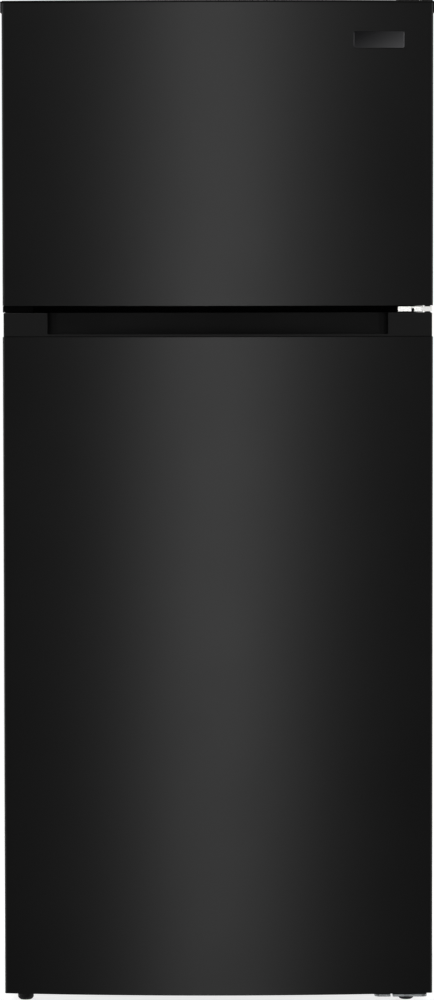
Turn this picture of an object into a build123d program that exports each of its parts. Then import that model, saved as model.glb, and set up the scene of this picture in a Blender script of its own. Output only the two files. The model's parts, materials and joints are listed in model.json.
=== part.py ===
# Top freezer refrigerator, in millimetres. +Z is up, the doors face -Y and hinge at +X, the floor is z = 0.
from build123d import *
import math
import os

os.makedirs("parts", exist_ok=True)

# Doors
DEPTH = 768.0  # crown of the doors to the rear cover
DOOR_WIDTH = 750.0
DOOR_TOP = 1763.0
DOOR_BOTTOM = 28.0
FREEZER_DOOR_HEIGHT = 529.0
DOOR_GAP = 12.6
DOOR_EDGE = 52.0  # thickness at the sides
CROWN = 28.0  # how far the middle stands out past the sides
EDGE_RADIUS = 5.0
SKIN = 0.8
SKIN_RETURN = 14.0

# Door end caps
CAP_WALL = 2.5
CAP_DEPTH = 24.0
CAP_SEAM = 1.4
TOP_LIP = 2.6
LIP_EDGE = 1.0
EAR_WIDTH = 2.6
EAR_HEIGHT = 22.0
EAR_LENGTH = 38.0
EAR_TAPER = 2.0
HANDLE_HEIGHT = 41.9  # top of the fridge door's skin to the top of its cap
HANDLE_INSET = 1.5
HANDLE_LIP = 3.5
LIP_DEPTH = 7.0
POCKET_END = 78.5  # block left at each end of the pocket
POCKET_DEPTH = 54.0  # from the crown
POCKET_RADIUS = 18.0
TROUGH_DEPTH = 20.0  # below the lip
GROOVE_DEPTH = 13.0
GROOVE_REACH = 44.0  # from the crown

# Door liners, gaskets and bins
LINER = 2.0
LINER_MARGIN = 4.0
DIKE_CLEARANCE = 11.0  # to the compartment's walls
DIKE_WIDTH = 20.0
DIKE_DEPTH = 34.0
DIKE_RADIUS = 22.0
SEAL_GAP = 12.0
SEAL_WIDTH = 16.0
SEAL_SIDE = 24.0
SEAL_END = 12.0
SEAL_FOOT = 24.0
SEAL_GROOVE = 3.0
BIN_WALL = 2.5
FREEZER_BIN_DEPTH = 76.0
FREEZER_BIN_HEIGHT = 92.0
FREEZER_BIN_RISES = (40.0, 226.0)  # above the freezer floor
FRIDGE_BIN_DEPTH = 104.0
FRIDGE_BIN_HEIGHT = 104.0
FRIDGE_BIN_RISES = (430.0, 760.0)  # above the fridge floor
BOTTLE_BIN_DEPTH = 116.0
BOTTLE_BIN_HEIGHT = 168.0
BOTTLE_BIN_RISE = 40.0

# Plate on the freezer door
PLATE_WIDTH = 88.0
PLATE_HEIGHT = 28.5
PLATE_THICKNESS = 1.6
PLATE_SIDE = 51.0  # from the door's hinge side
PLATE_DROP = 54.0  # below the door's top
PLATE_CORNER = 2.0

# Cabinet
CABINET_INSET = 2.0  # behind each side of the doors
CABINET_DROP = 5.0  # below the top of the freezer door
CABINET_RISE = 16.0  # above the bottom of the fridge door
SIDE_WALL = 50.0
BACK_WALL = 55.0
TOP_WALL = 58.0
FLOOR_WALL = 56.0
MULLION = 77.0
FRONT_RETURN = 40.0
REAR_RETURN = 15.0
TOP_FLANGE = 45.0
BASE_FLANGE = 44.0
BASE_SHEET = 1.0
BACK_PRESSING = 3.0
BACK_PRESSING_MARGIN = 45.0
LINER_FLANGE = 10.0
LINER_RADIUS = 18.0
SHELF_LEDGE = 9.0
SHELF_LEDGE_HEIGHT = 10.0

# Compressor bay
BAY_HEIGHT = 246.0
BAY_ROOF_DEPTH = 205.0
BAY_FLOOR_DEPTH = 245.0
BAY_WALL = 45.0
REAR_BULGE = 12.0
COVER_SHEET = 1.5
COVER_LAP = 12.0
COVER_MARGIN = 24.0
COVER_FLAT = 110.0  # unpressed end that carries the gland
COVER_RADIUS = 16.0
VENT_LENGTH = 60.0
VENT_WIDTH = 6.0
VENT_PITCH = 24.0
VENT_COLUMNS = 4
VENT_ROWS = 3
GLAND_RADIUS = 9.0
GLAND_BORE = 4.2
GLAND_FLANGE = 4.0
GLAND_SIDES = 12
RAIL_SHEET = 2.0
RAIL_FLANGE = 14.0
COMPRESSOR_RADIUS = 82.0
COMPRESSOR_HEIGHT = 165.0
COMPRESSOR_DOME = 32.0
COMPRESSOR_SIDES = 16
COMPRESSOR_X = -40.0
MOUNT_DISTANCE = 150.0
MOUNT_RADIUS = 12.0
MOUNT_HEIGHT = 14.0
MOUNT_SIDES = 8
FOOT_SHEET = 3.0
PAN_WIDTH = 190.0
PAN_DEPTH = 130.0
PAN_HEIGHT = 34.0
PAN_WALL = 2.0
TUBE_RADIUS = 3.5
TUBE_RUN = 48.0
TUBE_SIDES = 6  # flats that stand in for a round tube or a small round bar
DRIER_RADIUS = 10.0
DRIER_LENGTH = 90.0
CONDENSER_TUBE = 2.5
CONDENSER_PITCH = 120.0
CONDENSER_RUNS = 4
CONDENSER_FRONT = 130.0  # behind the cabinet's front
CONDENSER_BACK = 90.0
CONDENSER_DROP = 150.0
CHASE_DEPTH = 8.0
CHASE_MARGIN = 12.0

# Hinges, feet and rollers
HINGE_INSET = 23.0
HINGE_SETBACK = 26.0
PIN_RADIUS = 5.0
PIN_REACH = 18.0
PIN_PLAY = 0.08
BOSS_RADIUS = 11.0
BOSS_SIDES = 8
COLLAR_RADIUS = 9.0
COLLAR_SIDES = 8
LEAF = 4.0
LEAF_CLEARANCE = 2.0  # between a hinge leaf and the doors
LEAF_WALL = 3.0
LEAF_REACH = 18.0  # in front of the pins
LEAF_END = 22.0  # beyond the pins towards the side
MIDDLE_LEAF_SPAN = 38.0
MIDDLE_NOTCH = 4.5
MIDDLE_NOTCH_OFFSET = 12.0
MIDDLE_NOTCH_DEPTH = 8.0
FLANGE_NEAR = 12.0  # from the pins
FLANGE_FAR = 83.0
FLANGE_HEIGHT = 32.0
TOP_HINGE_LENGTH = 92.0
TOP_HINGE_SPAN = 20.0
JOGGLE = 12.0
HINGE_COVER_HEIGHT = 26.0
HINGE_COVER_SPAN = 36.0
HINGE_COVER_WALL = 2.0
HINGE_COVER_RADIUS = 10.0
BOTTOM_LEAF_SPAN = 78.0
BOTTOM_LEAF_END = 14.0
BOTTOM_NOTCH = 4.0
BOTTOM_NOTCH_OFFSET = 48.0
BOTTOM_RISER = 7.0  # behind the cabinet's front
BOTTOM_LENGTH = 80.0
SCREW_RADIUS = 2.5
SCREW_HEAD = 4.8
SCREW_HEAD_HEIGHT = 2.6
SCREW_SIDES = 6
FOOT_RADIUS = 14.0
FOOT_HEIGHT = 16.0
FOOT_EDGE = 7.0
FOOT_SIDES = 12
FOOT_STUD = 5.0
FOOT_SETBACK = 47.0
LEFT_FOOT_INSET = 30.0
RIGHT_FOOT_OFFSET = 19.0
NUT_RADIUS = 9.0
NUT_HEIGHT = 12.0
ROLLER_RADIUS = 20.0
ROLLER_WIDTH = 18.0
ROLLER_SIDES = 20
ROLLER_INSET = 60.0
ROLLER_SETBACK = 52.0
AXLE_RADIUS = 4.0
AXLE_SIDES = 12
EAR_SHEET = 3.0
BRACKET_WIDTH = 28.0

# Freezer compartment
COIL_SPACE = 95.0
COVER_PANEL = 3.0
GRILLE_LENGTH = 92.0
GRILLE_SLOT = 6.0
GRILLE_PITCH = 14.0
GRILLE_SLOTS = 5
RETURN_LENGTH = 24.0
RETURN_PITCH = 50.0
RETURN_SLOTS = 8
RETURN_RISE = 34.0
FAN_RISE = 330.0
FAN_RADIUS = 48.0
FAN_HUB = 12.0
FAN_LENGTH = 16.0
FAN_BLADES = 5
BLADE_CHORD = 26.0
BLADE_THICKNESS = 1.6
BLADE_PITCH = 32.0
FAN_GAP = 6.0
SHAFT_RADIUS = 3.0
MOTOR_RADIUS = 22.0
MOTOR_LENGTH = 30.0
MOTOR_SIDES = 8
STRAP_HALF = 66.0
STRAP_WIDTH = 26.0
STRAP_SHEET = 2.0
COIL_END = 19.0  # from the compartment's side walls to the tubes' bends
COIL_ROWS = 3
COIL_ROW_PITCH = 44.0
COIL_RISE = 62.0
FIN_COUNT = 5
FIN_SHEET = 0.8
FIN_DEPTH = 56.0
COIL_TUBE = 4.0
HEATER_RADIUS = 4.0
FREEZER_SHELF_RISE = 200.0
FREEZER_SHELF_FRONT = 88.0  # behind the cabinet's front

# Fridge compartment
SHELF_FRONT = 128.0
SHELF_RISES = (470.0, 740.0)  # above the fridge floor
SHELF_RAIL = 16.0
SHELF_HEIGHT = 12.0
GLASS = 4.0
GLASS_LAP = 6.0
DUCT_WIDTH = 120.0
DUCT_DEPTH = 16.0
DUCT_MARGIN = 60.0
DUCT_EDGE = 6.0
DUCT_VENTS = 4
DUCT_VENT_LENGTH = 60.0
CONTROL_WIDTH = 250.0
CONTROL_HEIGHT = 38.0
CONTROL_LENGTH = 190.0
CONTROL_SLOPE = 16.0
CONTROL_RADIUS = 6.0
LENS_WIDTH = 120.0
LENS_LENGTH = 100.0
LENS_THICKNESS = 3.0
LENS_SHIFT = 45.0
KNOB_RADIUS = 13.0
KNOB_LENGTH = 14.0
KNOB_OFFSET = 80.0
KNOB_STEM = 4.0
KNOB_SKIRT = 15.0
KNOB_SIDES = 16
KNOB_SKIRT_LENGTH = 2.0
KNOB_GRIP = 5.0
CRISPER_FRONT = 134.0
CRISPER_HEIGHT = 186.0
CRISPER_WALL = 2.5
CRISPER_CORNER = 12.0
CRISPER_GAP = 10.0  # to the hump, the walls and the middle post
CRISPER_LIP = 12.0
CRISPER_LIP_HEIGHT = 20.0
RUNNER_HEIGHT = 4.0
RUNNER_WIDTH = 8.0
RUNNER_INSET = 40.0
COVER_RISE = 222.0
POST_WIDTH = 8.0

# Clearances
FIT = 0.2
REST = 0.3

# Levels and planes that follow from the sizes above
FRONT = -DEPTH / 2
BACK = DEPTH / 2
HALF = DOOR_WIDTH / 2
DOOR_FRONT = FRONT + CROWN
DOOR_BACK = DOOR_FRONT + DOOR_EDGE
DOOR_SPLIT = DOOR_TOP - FREEZER_DOOR_HEIGHT
FRIDGE_DOOR_TOP = DOOR_SPLIT - DOOR_GAP
FREEZER_SKIN_TOP = DOOR_TOP - TOP_LIP - CAP_SEAM
FRIDGE_SKIN_TOP = FRIDGE_DOOR_TOP - HANDLE_HEIGHT
LIP_TOP = FRIDGE_SKIN_TOP + CAP_SEAM + HANDLE_LIP
TROUGH_FLOOR = LIP_TOP - TROUGH_DEPTH
SPIGOT_BOTTOM = TROUGH_FLOOR - CAP_WALL
POCKET_HALF = HALF - POCKET_END
GAP_MIDDLE = DOOR_SPLIT - DOOR_GAP / 2

CABINET_HALF = HALF - CABINET_INSET
CABINET_FRONT = DOOR_BACK + SEAL_GAP
CABINET_BACK = BACK - REAR_BULGE
CABINET_TOP = DOOR_TOP - CABINET_DROP
CABINET_BOTTOM = DOOR_BOTTOM + CABINET_RISE
CAVITY_HALF = CABINET_HALF - SIDE_WALL
LINER_BACK = CABINET_BACK - BACK_WALL
FREEZER_FLOOR = GAP_MIDDLE + MULLION / 2
FREEZER_CEILING = CABINET_TOP - TOP_WALL
FRIDGE_CEILING = GAP_MIDDLE - MULLION / 2
FRIDGE_FLOOR = CABINET_BOTTOM + FLOOR_WALL
PANEL_INNER = CABINET_HALF - SKIN
BACK_SHEET_OUTER = CABINET_BACK - SKIN
FOAM_BACK = BACK_SHEET_OUTER - SKIN
FOAM_FRONT = CABINET_FRONT + LINER

BAY_TOP = CABINET_BOTTOM + BAY_HEIGHT
BAY_FOOT = CABINET_BACK - BAY_FLOOR_DEPTH
BAY_SHOULDER = CABINET_BACK - BAY_ROOF_DEPTH
HUMP_FOOT = BAY_FOOT - BAY_WALL
HUMP_SHOULDER = BAY_SHOULDER - BAY_WALL
HUMP_TOP = BAY_TOP + BAY_WALL

HINGE_X = HALF - HINGE_INSET
HINGE_Y = DOOR_FRONT + HINGE_SETBACK
FOOT_Y = CABINET_FRONT + FOOT_SETBACK
LEFT_FOOT_X = LEFT_FOOT_INSET - CABINET_HALF
RIGHT_FOOT_X = HINGE_X - RIGHT_FOOT_OFFSET
BOTTOM_LEAF_TOP = DOOR_BOTTOM - LEAF
COIL_COVER_FRONT = LINER_BACK - COIL_SPACE
DIKE_HALF = CAVITY_HALF - DIKE_CLEARANCE
BIN_HALF = DIKE_HALF - DIKE_WIDTH - FIT


def write(builder, name):
    """Label a finished piece and write it to its own file."""
    builder.part.label = name
    export_step(builder.part, f"parts/{name}.step")


def facing(y):
    """Plane across the refrigerator at depth y: its x is +X, its y is +Z and it looks to the front."""
    return Plane((0, y, 0), x_dir=(1, 0, 0), z_dir=(0, -1, 0))


def slab(x, y, z, mode=Mode.ADD):
    """Block between two coordinates on each axis."""
    spans = (x, y, z)
    with Locations(tuple((low + high) / 2 for low, high in spans)):
        Box(*(high - low for low, high in spans), mode=mode)


def upright(radius, x, y, bottom, top, mode=Mode.ADD):
    """Vertical cylinder between two levels."""
    with Locations((x, y, (bottom + top) / 2)):
        Cylinder(radius, top - bottom, mode=mode)


def prism(radius, sides, x, y, bottom, top):
    """Upright bar with flat sides between two levels."""
    with BuildSketch(Plane.XY.offset(bottom)) as section:
        with Locations((x, y)):
            RegularPolygon(radius, sides)
    extrude(section.sketch, amount=top - bottom)


def panel(half_width, bottom, top, radius=0.0):
    """Rectangle, centred left to right, for a sketch on a plane that faces the front."""
    with BuildSketch() as outline:
        with Locations((0, (bottom + top) / 2)):
            if radius:
                RectangleRounded(2 * half_width, top - bottom, radius)
            else:
                Rectangle(2 * half_width, top - bottom)
    return outline.sketch


def strip(points, thickness, side):
    """Cross-section of a bent sheet: an open line of points with thickness on one side."""
    with BuildSketch() as section:
        with BuildLine():
            Polyline(*points)
            offset(amount=thickness, side=side)
        make_face()
    return section.sketch


def door_plan(inset=0.0):
    """A door seen from above: crowned front with rounded corners, straight sides and back."""
    with BuildSketch() as outline:
        with BuildLine():
            ThreePointArc((-HALF, DOOR_FRONT), (0, FRONT), (HALF, DOOR_FRONT))
            Polyline((HALF, DOOR_FRONT), (HALF, DOOR_BACK), (-HALF, DOOR_BACK), (-HALF, DOOR_FRONT))
        make_face()
        fillet(outline.vertices().group_by(Axis.Y)[0], EDGE_RADIUS)
        if inset:
            offset(amount=-inset, kind=Kind.INTERSECTION)
    return outline.sketch


def pocket_plan(reach, grow=0.0):
    """Finger recess seen from above: open to the front, rounded at the back, grown by a wall."""
    half = POCKET_HALF + grow
    rear = FRONT + reach + grow
    with BuildSketch() as outline:
        with BuildLine():
            Polyline((-half, FRONT - CROWN), (half, FRONT - CROWN), (half, rear), (-half, rear), close=True)
        make_face()
        fillet(outline.vertices().group_by(Axis.Y)[-1], POCKET_RADIUS + grow)
    return outline.sketch


def recess_plan(reach, grow=0.0):
    """The part of a finger recess that lies behind the lip along the door's front."""
    with BuildSketch() as outline:
        add(pocket_plan(reach, grow))
        add(door_plan(LIP_DEPTH - grow), mode=Mode.INTERSECT)
    return outline.sketch


# Doors: pieces that both doors have
def door_skin(bottom, top):
    """Bent steel front with sides and narrow returns at the back."""
    with BuildPart() as skin:
        with BuildSketch(Plane.XY.offset(bottom)):
            add(door_plan())
            add(door_plan(SKIN), mode=Mode.SUBTRACT)
            with Locations((0, DOOR_BACK)):
                Rectangle(2 * (HALF - SKIN_RETURN), 2 * CAP_WALL, mode=Mode.SUBTRACT)
        extrude(amount=top - bottom)
    return skin


def door_foam(bottom, top):
    """Insulation that fills the skin between the end caps."""
    with BuildPart() as foam:
        with BuildSketch(Plane.XY.offset(bottom)):
            add(door_plan(SKIN + FIT))
        extrude(amount=top - bottom)
    return foam


def door_liner(bottom, top, floor, ceiling):
    """Formed inner sheet with a raised, filled dike that enters the compartment and holds the bins."""
    dike_bottom = floor + DIKE_CLEARANCE
    dike_top = ceiling - DIKE_CLEARANCE
    with BuildPart() as liner:
        with BuildSketch(facing(DOOR_BACK)):
            add(panel(HALF - LINER_MARGIN, bottom + LINER_MARGIN, top - LINER_MARGIN))
        extrude(amount=-LINER)
        with BuildSketch(facing(DOOR_BACK)):
            add(panel(DIKE_HALF, dike_bottom, dike_top, DIKE_RADIUS))
            add(
                panel(DIKE_HALF - DIKE_WIDTH, dike_bottom + DIKE_WIDTH, dike_top - DIKE_WIDTH),
                mode=Mode.SUBTRACT,
            )
        extrude(amount=-DIKE_DEPTH)
    return liner


def door_gasket(bottom, top):
    """Magnetic seal on the liner's edge, with the fold of its bellows along the outside."""
    front = DOOR_BACK + LINER
    depth = SEAL_GAP - LINER - REST
    half = HALF - SEAL_SIDE
    with BuildPart() as gasket:
        with BuildSketch(facing(front)):
            add(panel(half, bottom, top))
            add(panel(half - SEAL_WIDTH, bottom + SEAL_WIDTH, top - SEAL_WIDTH), mode=Mode.SUBTRACT)
        extrude(amount=-depth)
        with BuildSketch(facing(front + (depth - SEAL_GROOVE) / 2)):
            add(panel(half, bottom, top))
            add(
                panel(half - SEAL_GROOVE, bottom + SEAL_GROOVE, top - SEAL_GROOVE),
                mode=Mode.SUBTRACT,
            )
        extrude(amount=-SEAL_GROOVE, mode=Mode.SUBTRACT)
    return gasket


def door_bins(sizes):
    """Open trays held between the liner's dikes, one for each (level, depth, height)."""
    rear = DOOR_BACK + LINER + FIT
    with BuildPart() as bins:
        for level, depth, height in sizes:
            for wall, mode in ((0, Mode.ADD), (BIN_WALL, Mode.SUBTRACT)):
                slab(
                    (wall - BIN_HALF, BIN_HALF - wall),
                    (rear + wall, rear + depth - wall),
                    (level + wall, level + height),
                    mode,
                )
    return bins


def bottom_cap(bottom):
    """Tray that closes a door's lower end inside the skin, with the bush for the hinge pin."""
    with BuildPart() as cap:
        with BuildSketch(Plane.XY.offset(bottom)):
            add(door_plan(SKIN + FIT))
        extrude(amount=CAP_DEPTH)
        with BuildSketch(Plane.XY.offset(bottom + CAP_WALL)):
            add(door_plan(SKIN + FIT + CAP_WALL))
        extrude(amount=CAP_DEPTH, mode=Mode.SUBTRACT)
        prism(BOSS_RADIUS, BOSS_SIDES, HINGE_X, HINGE_Y, bottom, bottom + CAP_DEPTH)
        upright(PIN_RADIUS + PIN_PLAY, HINGE_X, HINGE_Y, bottom, bottom + PIN_REACH + REST, Mode.SUBTRACT)
    return cap


# Freezer door
freezer_door_skin = door_skin(DOOR_SPLIT, FREEZER_SKIN_TOP)
write(freezer_door_skin, "freezer_door_skin")

freezer_door_foam = door_foam(DOOR_SPLIT + CAP_DEPTH + FIT, DOOR_TOP - CAP_DEPTH - FIT)
write(freezer_door_foam, "freezer_door_foam")

freezer_door_liner = door_liner(DOOR_SPLIT, DOOR_TOP, FREEZER_FLOOR, FREEZER_CEILING)
write(freezer_door_liner, "freezer_door_liner")

freezer_door_gasket = door_gasket(DOOR_SPLIT + SEAL_END, DOOR_TOP - SEAL_END)
write(freezer_door_gasket, "freezer_door_gasket")

freezer_bin_levels = [FREEZER_FLOOR + rise for rise in FREEZER_BIN_RISES]
freezer_door_bins = door_bins([(level, FREEZER_BIN_DEPTH, FREEZER_BIN_HEIGHT) for level in freezer_bin_levels])
write(freezer_door_bins, "freezer_door_bins")

# Its lower cap has a finger groove along the underside
with BuildPart() as freezer_door_bottom_cap:
    add(bottom_cap(DOOR_SPLIT).part)
    with BuildSketch(Plane.XY.offset(DOOR_SPLIT)):
        add(recess_plan(GROOVE_REACH, CAP_WALL))
    extrude(amount=GROOVE_DEPTH + CAP_WALL)
    with BuildSketch(Plane.XY.offset(DOOR_SPLIT)):
        add(recess_plan(GROOVE_REACH))
    extrude(amount=GROOVE_DEPTH, mode=Mode.SUBTRACT)
write(freezer_door_bottom_cap, "freezer_door_bottom_cap")

# Its upper cap lies on the skin, with a skirt inside it and a small cheek over each upper corner
with BuildPart() as freezer_door_top_cap:
    with BuildSketch(Plane.XY.offset(DOOR_TOP - TOP_LIP)):
        add(door_plan())
    extrude(amount=TOP_LIP)
    chamfer(freezer_door_top_cap.faces().sort_by(Axis.Z)[-1].edges(), LIP_EDGE)
    with BuildSketch(Plane.XY.offset(DOOR_TOP - CAP_DEPTH)):
        add(door_plan(SKIN + FIT))
        add(door_plan(SKIN + FIT + CAP_WALL), mode=Mode.SUBTRACT)
    extrude(amount=CAP_DEPTH - TOP_LIP)
    prism(BOSS_RADIUS, BOSS_SIDES, HINGE_X, HINGE_Y, DOOR_TOP - CAP_DEPTH, DOOR_TOP - TOP_LIP)
    upright(PIN_RADIUS + PIN_PLAY, HINGE_X, HINGE_Y, DOOR_TOP - PIN_REACH - REST, DOOR_TOP, Mode.SUBTRACT)
    for side in (-1, 1):
        with BuildSketch(facing(DOOR_FRONT + EDGE_RADIUS)):
            with BuildLine():
                Polyline(
                    (side * HALF, DOOR_TOP - LIP_EDGE),
                    (side * (HALF + EAR_WIDTH), DOOR_TOP - LIP_EDGE),
                    (side * (HALF + EAR_WIDTH), DOOR_TOP - EAR_HEIGHT + EAR_TAPER),
                    (side * (HALF + FIT), DOOR_TOP - EAR_HEIGHT),
                    (side * (HALF + FIT), DOOR_TOP - TOP_LIP),
                    (side * HALF, DOOR_TOP - TOP_LIP),
                    close=True,
                )
            make_face()
        extrude(amount=-EAR_LENGTH)
write(freezer_door_top_cap, "freezer_door_top_cap")

# Bare plate that follows the crown, near the upper corner on the hinge side
with BuildPart() as name_plate:
    plate_x = HALF - PLATE_SIDE - PLATE_WIDTH / 2
    plate_z = DOOR_TOP - PLATE_DROP - PLATE_HEIGHT / 2
    with BuildSketch(Plane.XY.offset(plate_z - PLATE_HEIGHT / 2)):
        add(door_plan(-FIT - PLATE_THICKNESS))
        add(door_plan(-FIT), mode=Mode.SUBTRACT)
        with Locations((plate_x, DOOR_FRONT)):
            Rectangle(PLATE_WIDTH, 2 * CROWN, mode=Mode.INTERSECT)
    extrude(amount=PLATE_HEIGHT)
    chamfer(name_plate.edges().filter_by(Axis.Y, tolerance=20), PLATE_CORNER)
write(name_plate, "name_plate")

# Fridge door
fridge_door_skin = door_skin(DOOR_BOTTOM, FRIDGE_SKIN_TOP)
write(fridge_door_skin, "fridge_door_skin")

fridge_door_foam = door_foam(DOOR_BOTTOM + CAP_DEPTH + FIT, SPIGOT_BOTTOM - FIT)
write(fridge_door_foam, "fridge_door_foam")

fridge_door_liner = door_liner(DOOR_BOTTOM, FRIDGE_DOOR_TOP, FRIDGE_FLOOR, FRIDGE_CEILING)
write(fridge_door_liner, "fridge_door_liner")

fridge_door_gasket = door_gasket(DOOR_BOTTOM + SEAL_FOOT, FRIDGE_DOOR_TOP - SEAL_END)
write(fridge_door_gasket, "fridge_door_gasket")

# The lowest tray is deeper, for bottles
bottle_bin = (FRIDGE_FLOOR + BOTTLE_BIN_RISE, BOTTLE_BIN_DEPTH, BOTTLE_BIN_HEIGHT)
fridge_bins = [(FRIDGE_FLOOR + rise, FRIDGE_BIN_DEPTH, FRIDGE_BIN_HEIGHT) for rise in FRIDGE_BIN_RISES]
fridge_door_bins = door_bins([bottle_bin, *fridge_bins])
write(fridge_door_bins, "fridge_door_bins")

fridge_door_bottom_cap = bottom_cap(DOOR_BOTTOM)
write(fridge_door_bottom_cap, "fridge_door_bottom_cap")

# Upper cap with the pocket handle: a block at each end, a lip along the front and a trough behind it
with BuildPart() as fridge_door_handle_cap:
    with BuildSketch(Plane.XY.offset(FRIDGE_SKIN_TOP + CAP_SEAM)):
        add(door_plan(HANDLE_INSET))
    extrude(amount=HANDLE_HEIGHT - CAP_SEAM)
    chamfer(fridge_door_handle_cap.faces().sort_by(Axis.Z)[-1].edges(), LIP_EDGE)
    with BuildSketch(Plane.XY.offset(SPIGOT_BOTTOM)):
        add(door_plan(HANDLE_INSET + FIT))
    extrude(amount=FRIDGE_SKIN_TOP + CAP_SEAM - SPIGOT_BOTTOM)
    with BuildSketch(Plane.XY.offset(LIP_TOP)):
        add(pocket_plan(POCKET_DEPTH))
    extrude(amount=FRIDGE_DOOR_TOP - LIP_TOP, mode=Mode.SUBTRACT)
    with BuildSketch(Plane.XY.offset(TROUGH_FLOOR)):
        add(recess_plan(POCKET_DEPTH))
    extrude(amount=TROUGH_DEPTH, mode=Mode.SUBTRACT)
    with BuildSketch(Plane.XY.offset(SPIGOT_BOTTOM)):
        add(door_plan(HANDLE_INSET + FIT + CAP_WALL))
        add(pocket_plan(POCKET_DEPTH, CAP_WALL), mode=Mode.SUBTRACT)
    extrude(amount=FRIDGE_DOOR_TOP - CAP_WALL - SPIGOT_BOTTOM, mode=Mode.SUBTRACT)
    prism(BOSS_RADIUS, BOSS_SIDES, HINGE_X, HINGE_Y, SPIGOT_BOTTOM, FRIDGE_DOOR_TOP - CAP_WALL)
    upright(
        PIN_RADIUS + PIN_PLAY,
        HINGE_X,
        HINGE_Y,
        FRIDGE_DOOR_TOP - PIN_REACH - REST,
        FRIDGE_DOOR_TOP,
        Mode.SUBTRACT,
    )
write(fridge_door_handle_cap, "fridge_door_handle_cap")


# Cabinet shell
with BuildPart() as right_side_panel:
    with BuildSketch(Plane.XY.offset(CABINET_BOTTOM)):
        add(
            strip(
                (
                    (CABINET_HALF - FRONT_RETURN, CABINET_FRONT),
                    (CABINET_HALF, CABINET_FRONT),
                    (CABINET_HALF, CABINET_BACK),
                    (CABINET_HALF - REAR_RETURN, CABINET_BACK),
                ),
                SKIN,
                Side.LEFT,
            )
        )
    extrude(amount=CABINET_TOP - SKIN - CABINET_BOTTOM)
write(right_side_panel, "right_side_panel")

with BuildPart() as left_side_panel:
    mirror(right_side_panel.part, about=Plane.YZ)
write(left_side_panel, "left_side_panel")

# Side view of a bent sheet across the cabinet is drawn on Plane.YZ: its x is +Y and its y is +Z
with BuildPart() as top_panel:
    with BuildSketch(Plane.YZ):
        add(
            strip(
                (
                    (CABINET_FRONT + SKIN, CABINET_TOP - TOP_FLANGE),
                    (CABINET_FRONT + SKIN, CABINET_TOP),
                    (CABINET_BACK, CABINET_TOP),
                ),
                SKIN,
                Side.RIGHT,
            )
        )
    extrude(amount=PANEL_INNER - FIT, both=True)
    slab(
        (-CABINET_HALF, CABINET_HALF),
        (CABINET_FRONT, CABINET_BACK),
        (CABINET_TOP - SKIN, CABINET_TOP),
    )
write(top_panel, "top_panel")

with BuildPart() as base_pan:
    with BuildSketch(Plane.YZ):
        add(
            strip(
                (
                    (CABINET_FRONT + SKIN, CABINET_BOTTOM + BASE_FLANGE),
                    (CABINET_FRONT + SKIN, CABINET_BOTTOM),
                    (BAY_FOOT, CABINET_BOTTOM),
                ),
                BASE_SHEET,
                Side.LEFT,
            )
        )
    extrude(amount=PANEL_INNER - FIT, both=True)
    prism(NUT_RADIUS, SCREW_SIDES, LEFT_FOOT_X, FOOT_Y, CABINET_BOTTOM - NUT_HEIGHT, CABINET_BOTTOM)
    upright(
        FOOT_STUD + PIN_PLAY,
        LEFT_FOOT_X,
        FOOT_Y,
        CABINET_BOTTOM - NUT_HEIGHT,
        CABINET_BOTTOM,
        Mode.SUBTRACT,
    )
write(base_pan, "base_pan")

with BuildPart() as bay_roof:
    with BuildSketch(Plane.YZ):
        add(
            strip(
                (
                    (BAY_FOOT, CABINET_BOTTOM),
                    (BAY_SHOULDER, BAY_TOP),
                    (FOAM_BACK, BAY_TOP),
                ),
                BASE_SHEET,
                Side.RIGHT,
            )
        )
    extrude(amount=PANEL_INNER - FIT, both=True)
write(bay_roof, "bay_roof")

with BuildPart() as back_panel:
    with BuildSketch(facing(BACK_SHEET_OUTER)):
        add(panel(PANEL_INNER - FIT, BAY_TOP, CABINET_TOP - SKIN))
    extrude(amount=SKIN)
    for wall, mode in ((0, Mode.ADD), (SKIN, Mode.SUBTRACT)):
        with BuildSketch(facing(FOAM_BACK)):
            add(
                panel(
                    CABINET_HALF - BACK_PRESSING_MARGIN - wall,
                    BAY_TOP + BACK_PRESSING_MARGIN + wall,
                    CABINET_TOP - BACK_PRESSING_MARGIN - wall,
                )
            )
        extrude(amount=-(BACK_PRESSING + SKIN - wall), mode=mode)
write(back_panel, "back_panel")

with BuildPart() as mullion_rail:
    with BuildSketch(facing(CABINET_FRONT + SKIN)):
        add(panel(PANEL_INNER - FIT, FRIDGE_CEILING + LINER_FLANGE, FREEZER_FLOOR - LINER_FLANGE))
    extrude(amount=-BASE_SHEET)
write(mullion_rail, "mullion_rail")


# Compartments
def compartment(points, grow):
    """Space of a compartment from its side view, grown by a wall, with moulded corners at the back and top."""
    with BuildPart() as space:
        with BuildSketch(Plane.YZ):
            with BuildLine():
                Polyline(*points, close=True)
            make_face()
            if grow:
                offset(amount=grow, kind=Kind.INTERSECTION)
        extrude(amount=CAVITY_HALF + grow, both=True)
        back_face = space.faces().sort_by(Axis.Y)[-1]
        top_face = space.faces().sort_by(Axis.Z)[-1]
        rounded = back_face.edges().filter_by(Axis.Z) + top_face.edges().filter_by(Axis.Y)
        fillet(rounded, LINER_RADIUS + grow)
    return space.part


# Both outlines start in front of the cabinet, so that the grown one still passes through its front
fridge_outline = (
    (DOOR_BACK, FRIDGE_FLOOR),
    (HUMP_FOOT, FRIDGE_FLOOR),
    (HUMP_SHOULDER, HUMP_TOP),
    (LINER_BACK, HUMP_TOP),
    (LINER_BACK, FRIDGE_CEILING),
    (DOOR_BACK, FRIDGE_CEILING),
)
freezer_outline = (
    (DOOR_BACK, FREEZER_FLOOR),
    (LINER_BACK, FREEZER_FLOOR),
    (LINER_BACK, FREEZER_CEILING),
    (DOOR_BACK, FREEZER_CEILING),
)
fridge_space = compartment(fridge_outline, 0)
fridge_block = compartment(fridge_outline, LINER)
freezer_space = compartment(freezer_outline, 0)
freezer_block = compartment(freezer_outline, LINER)

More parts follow.
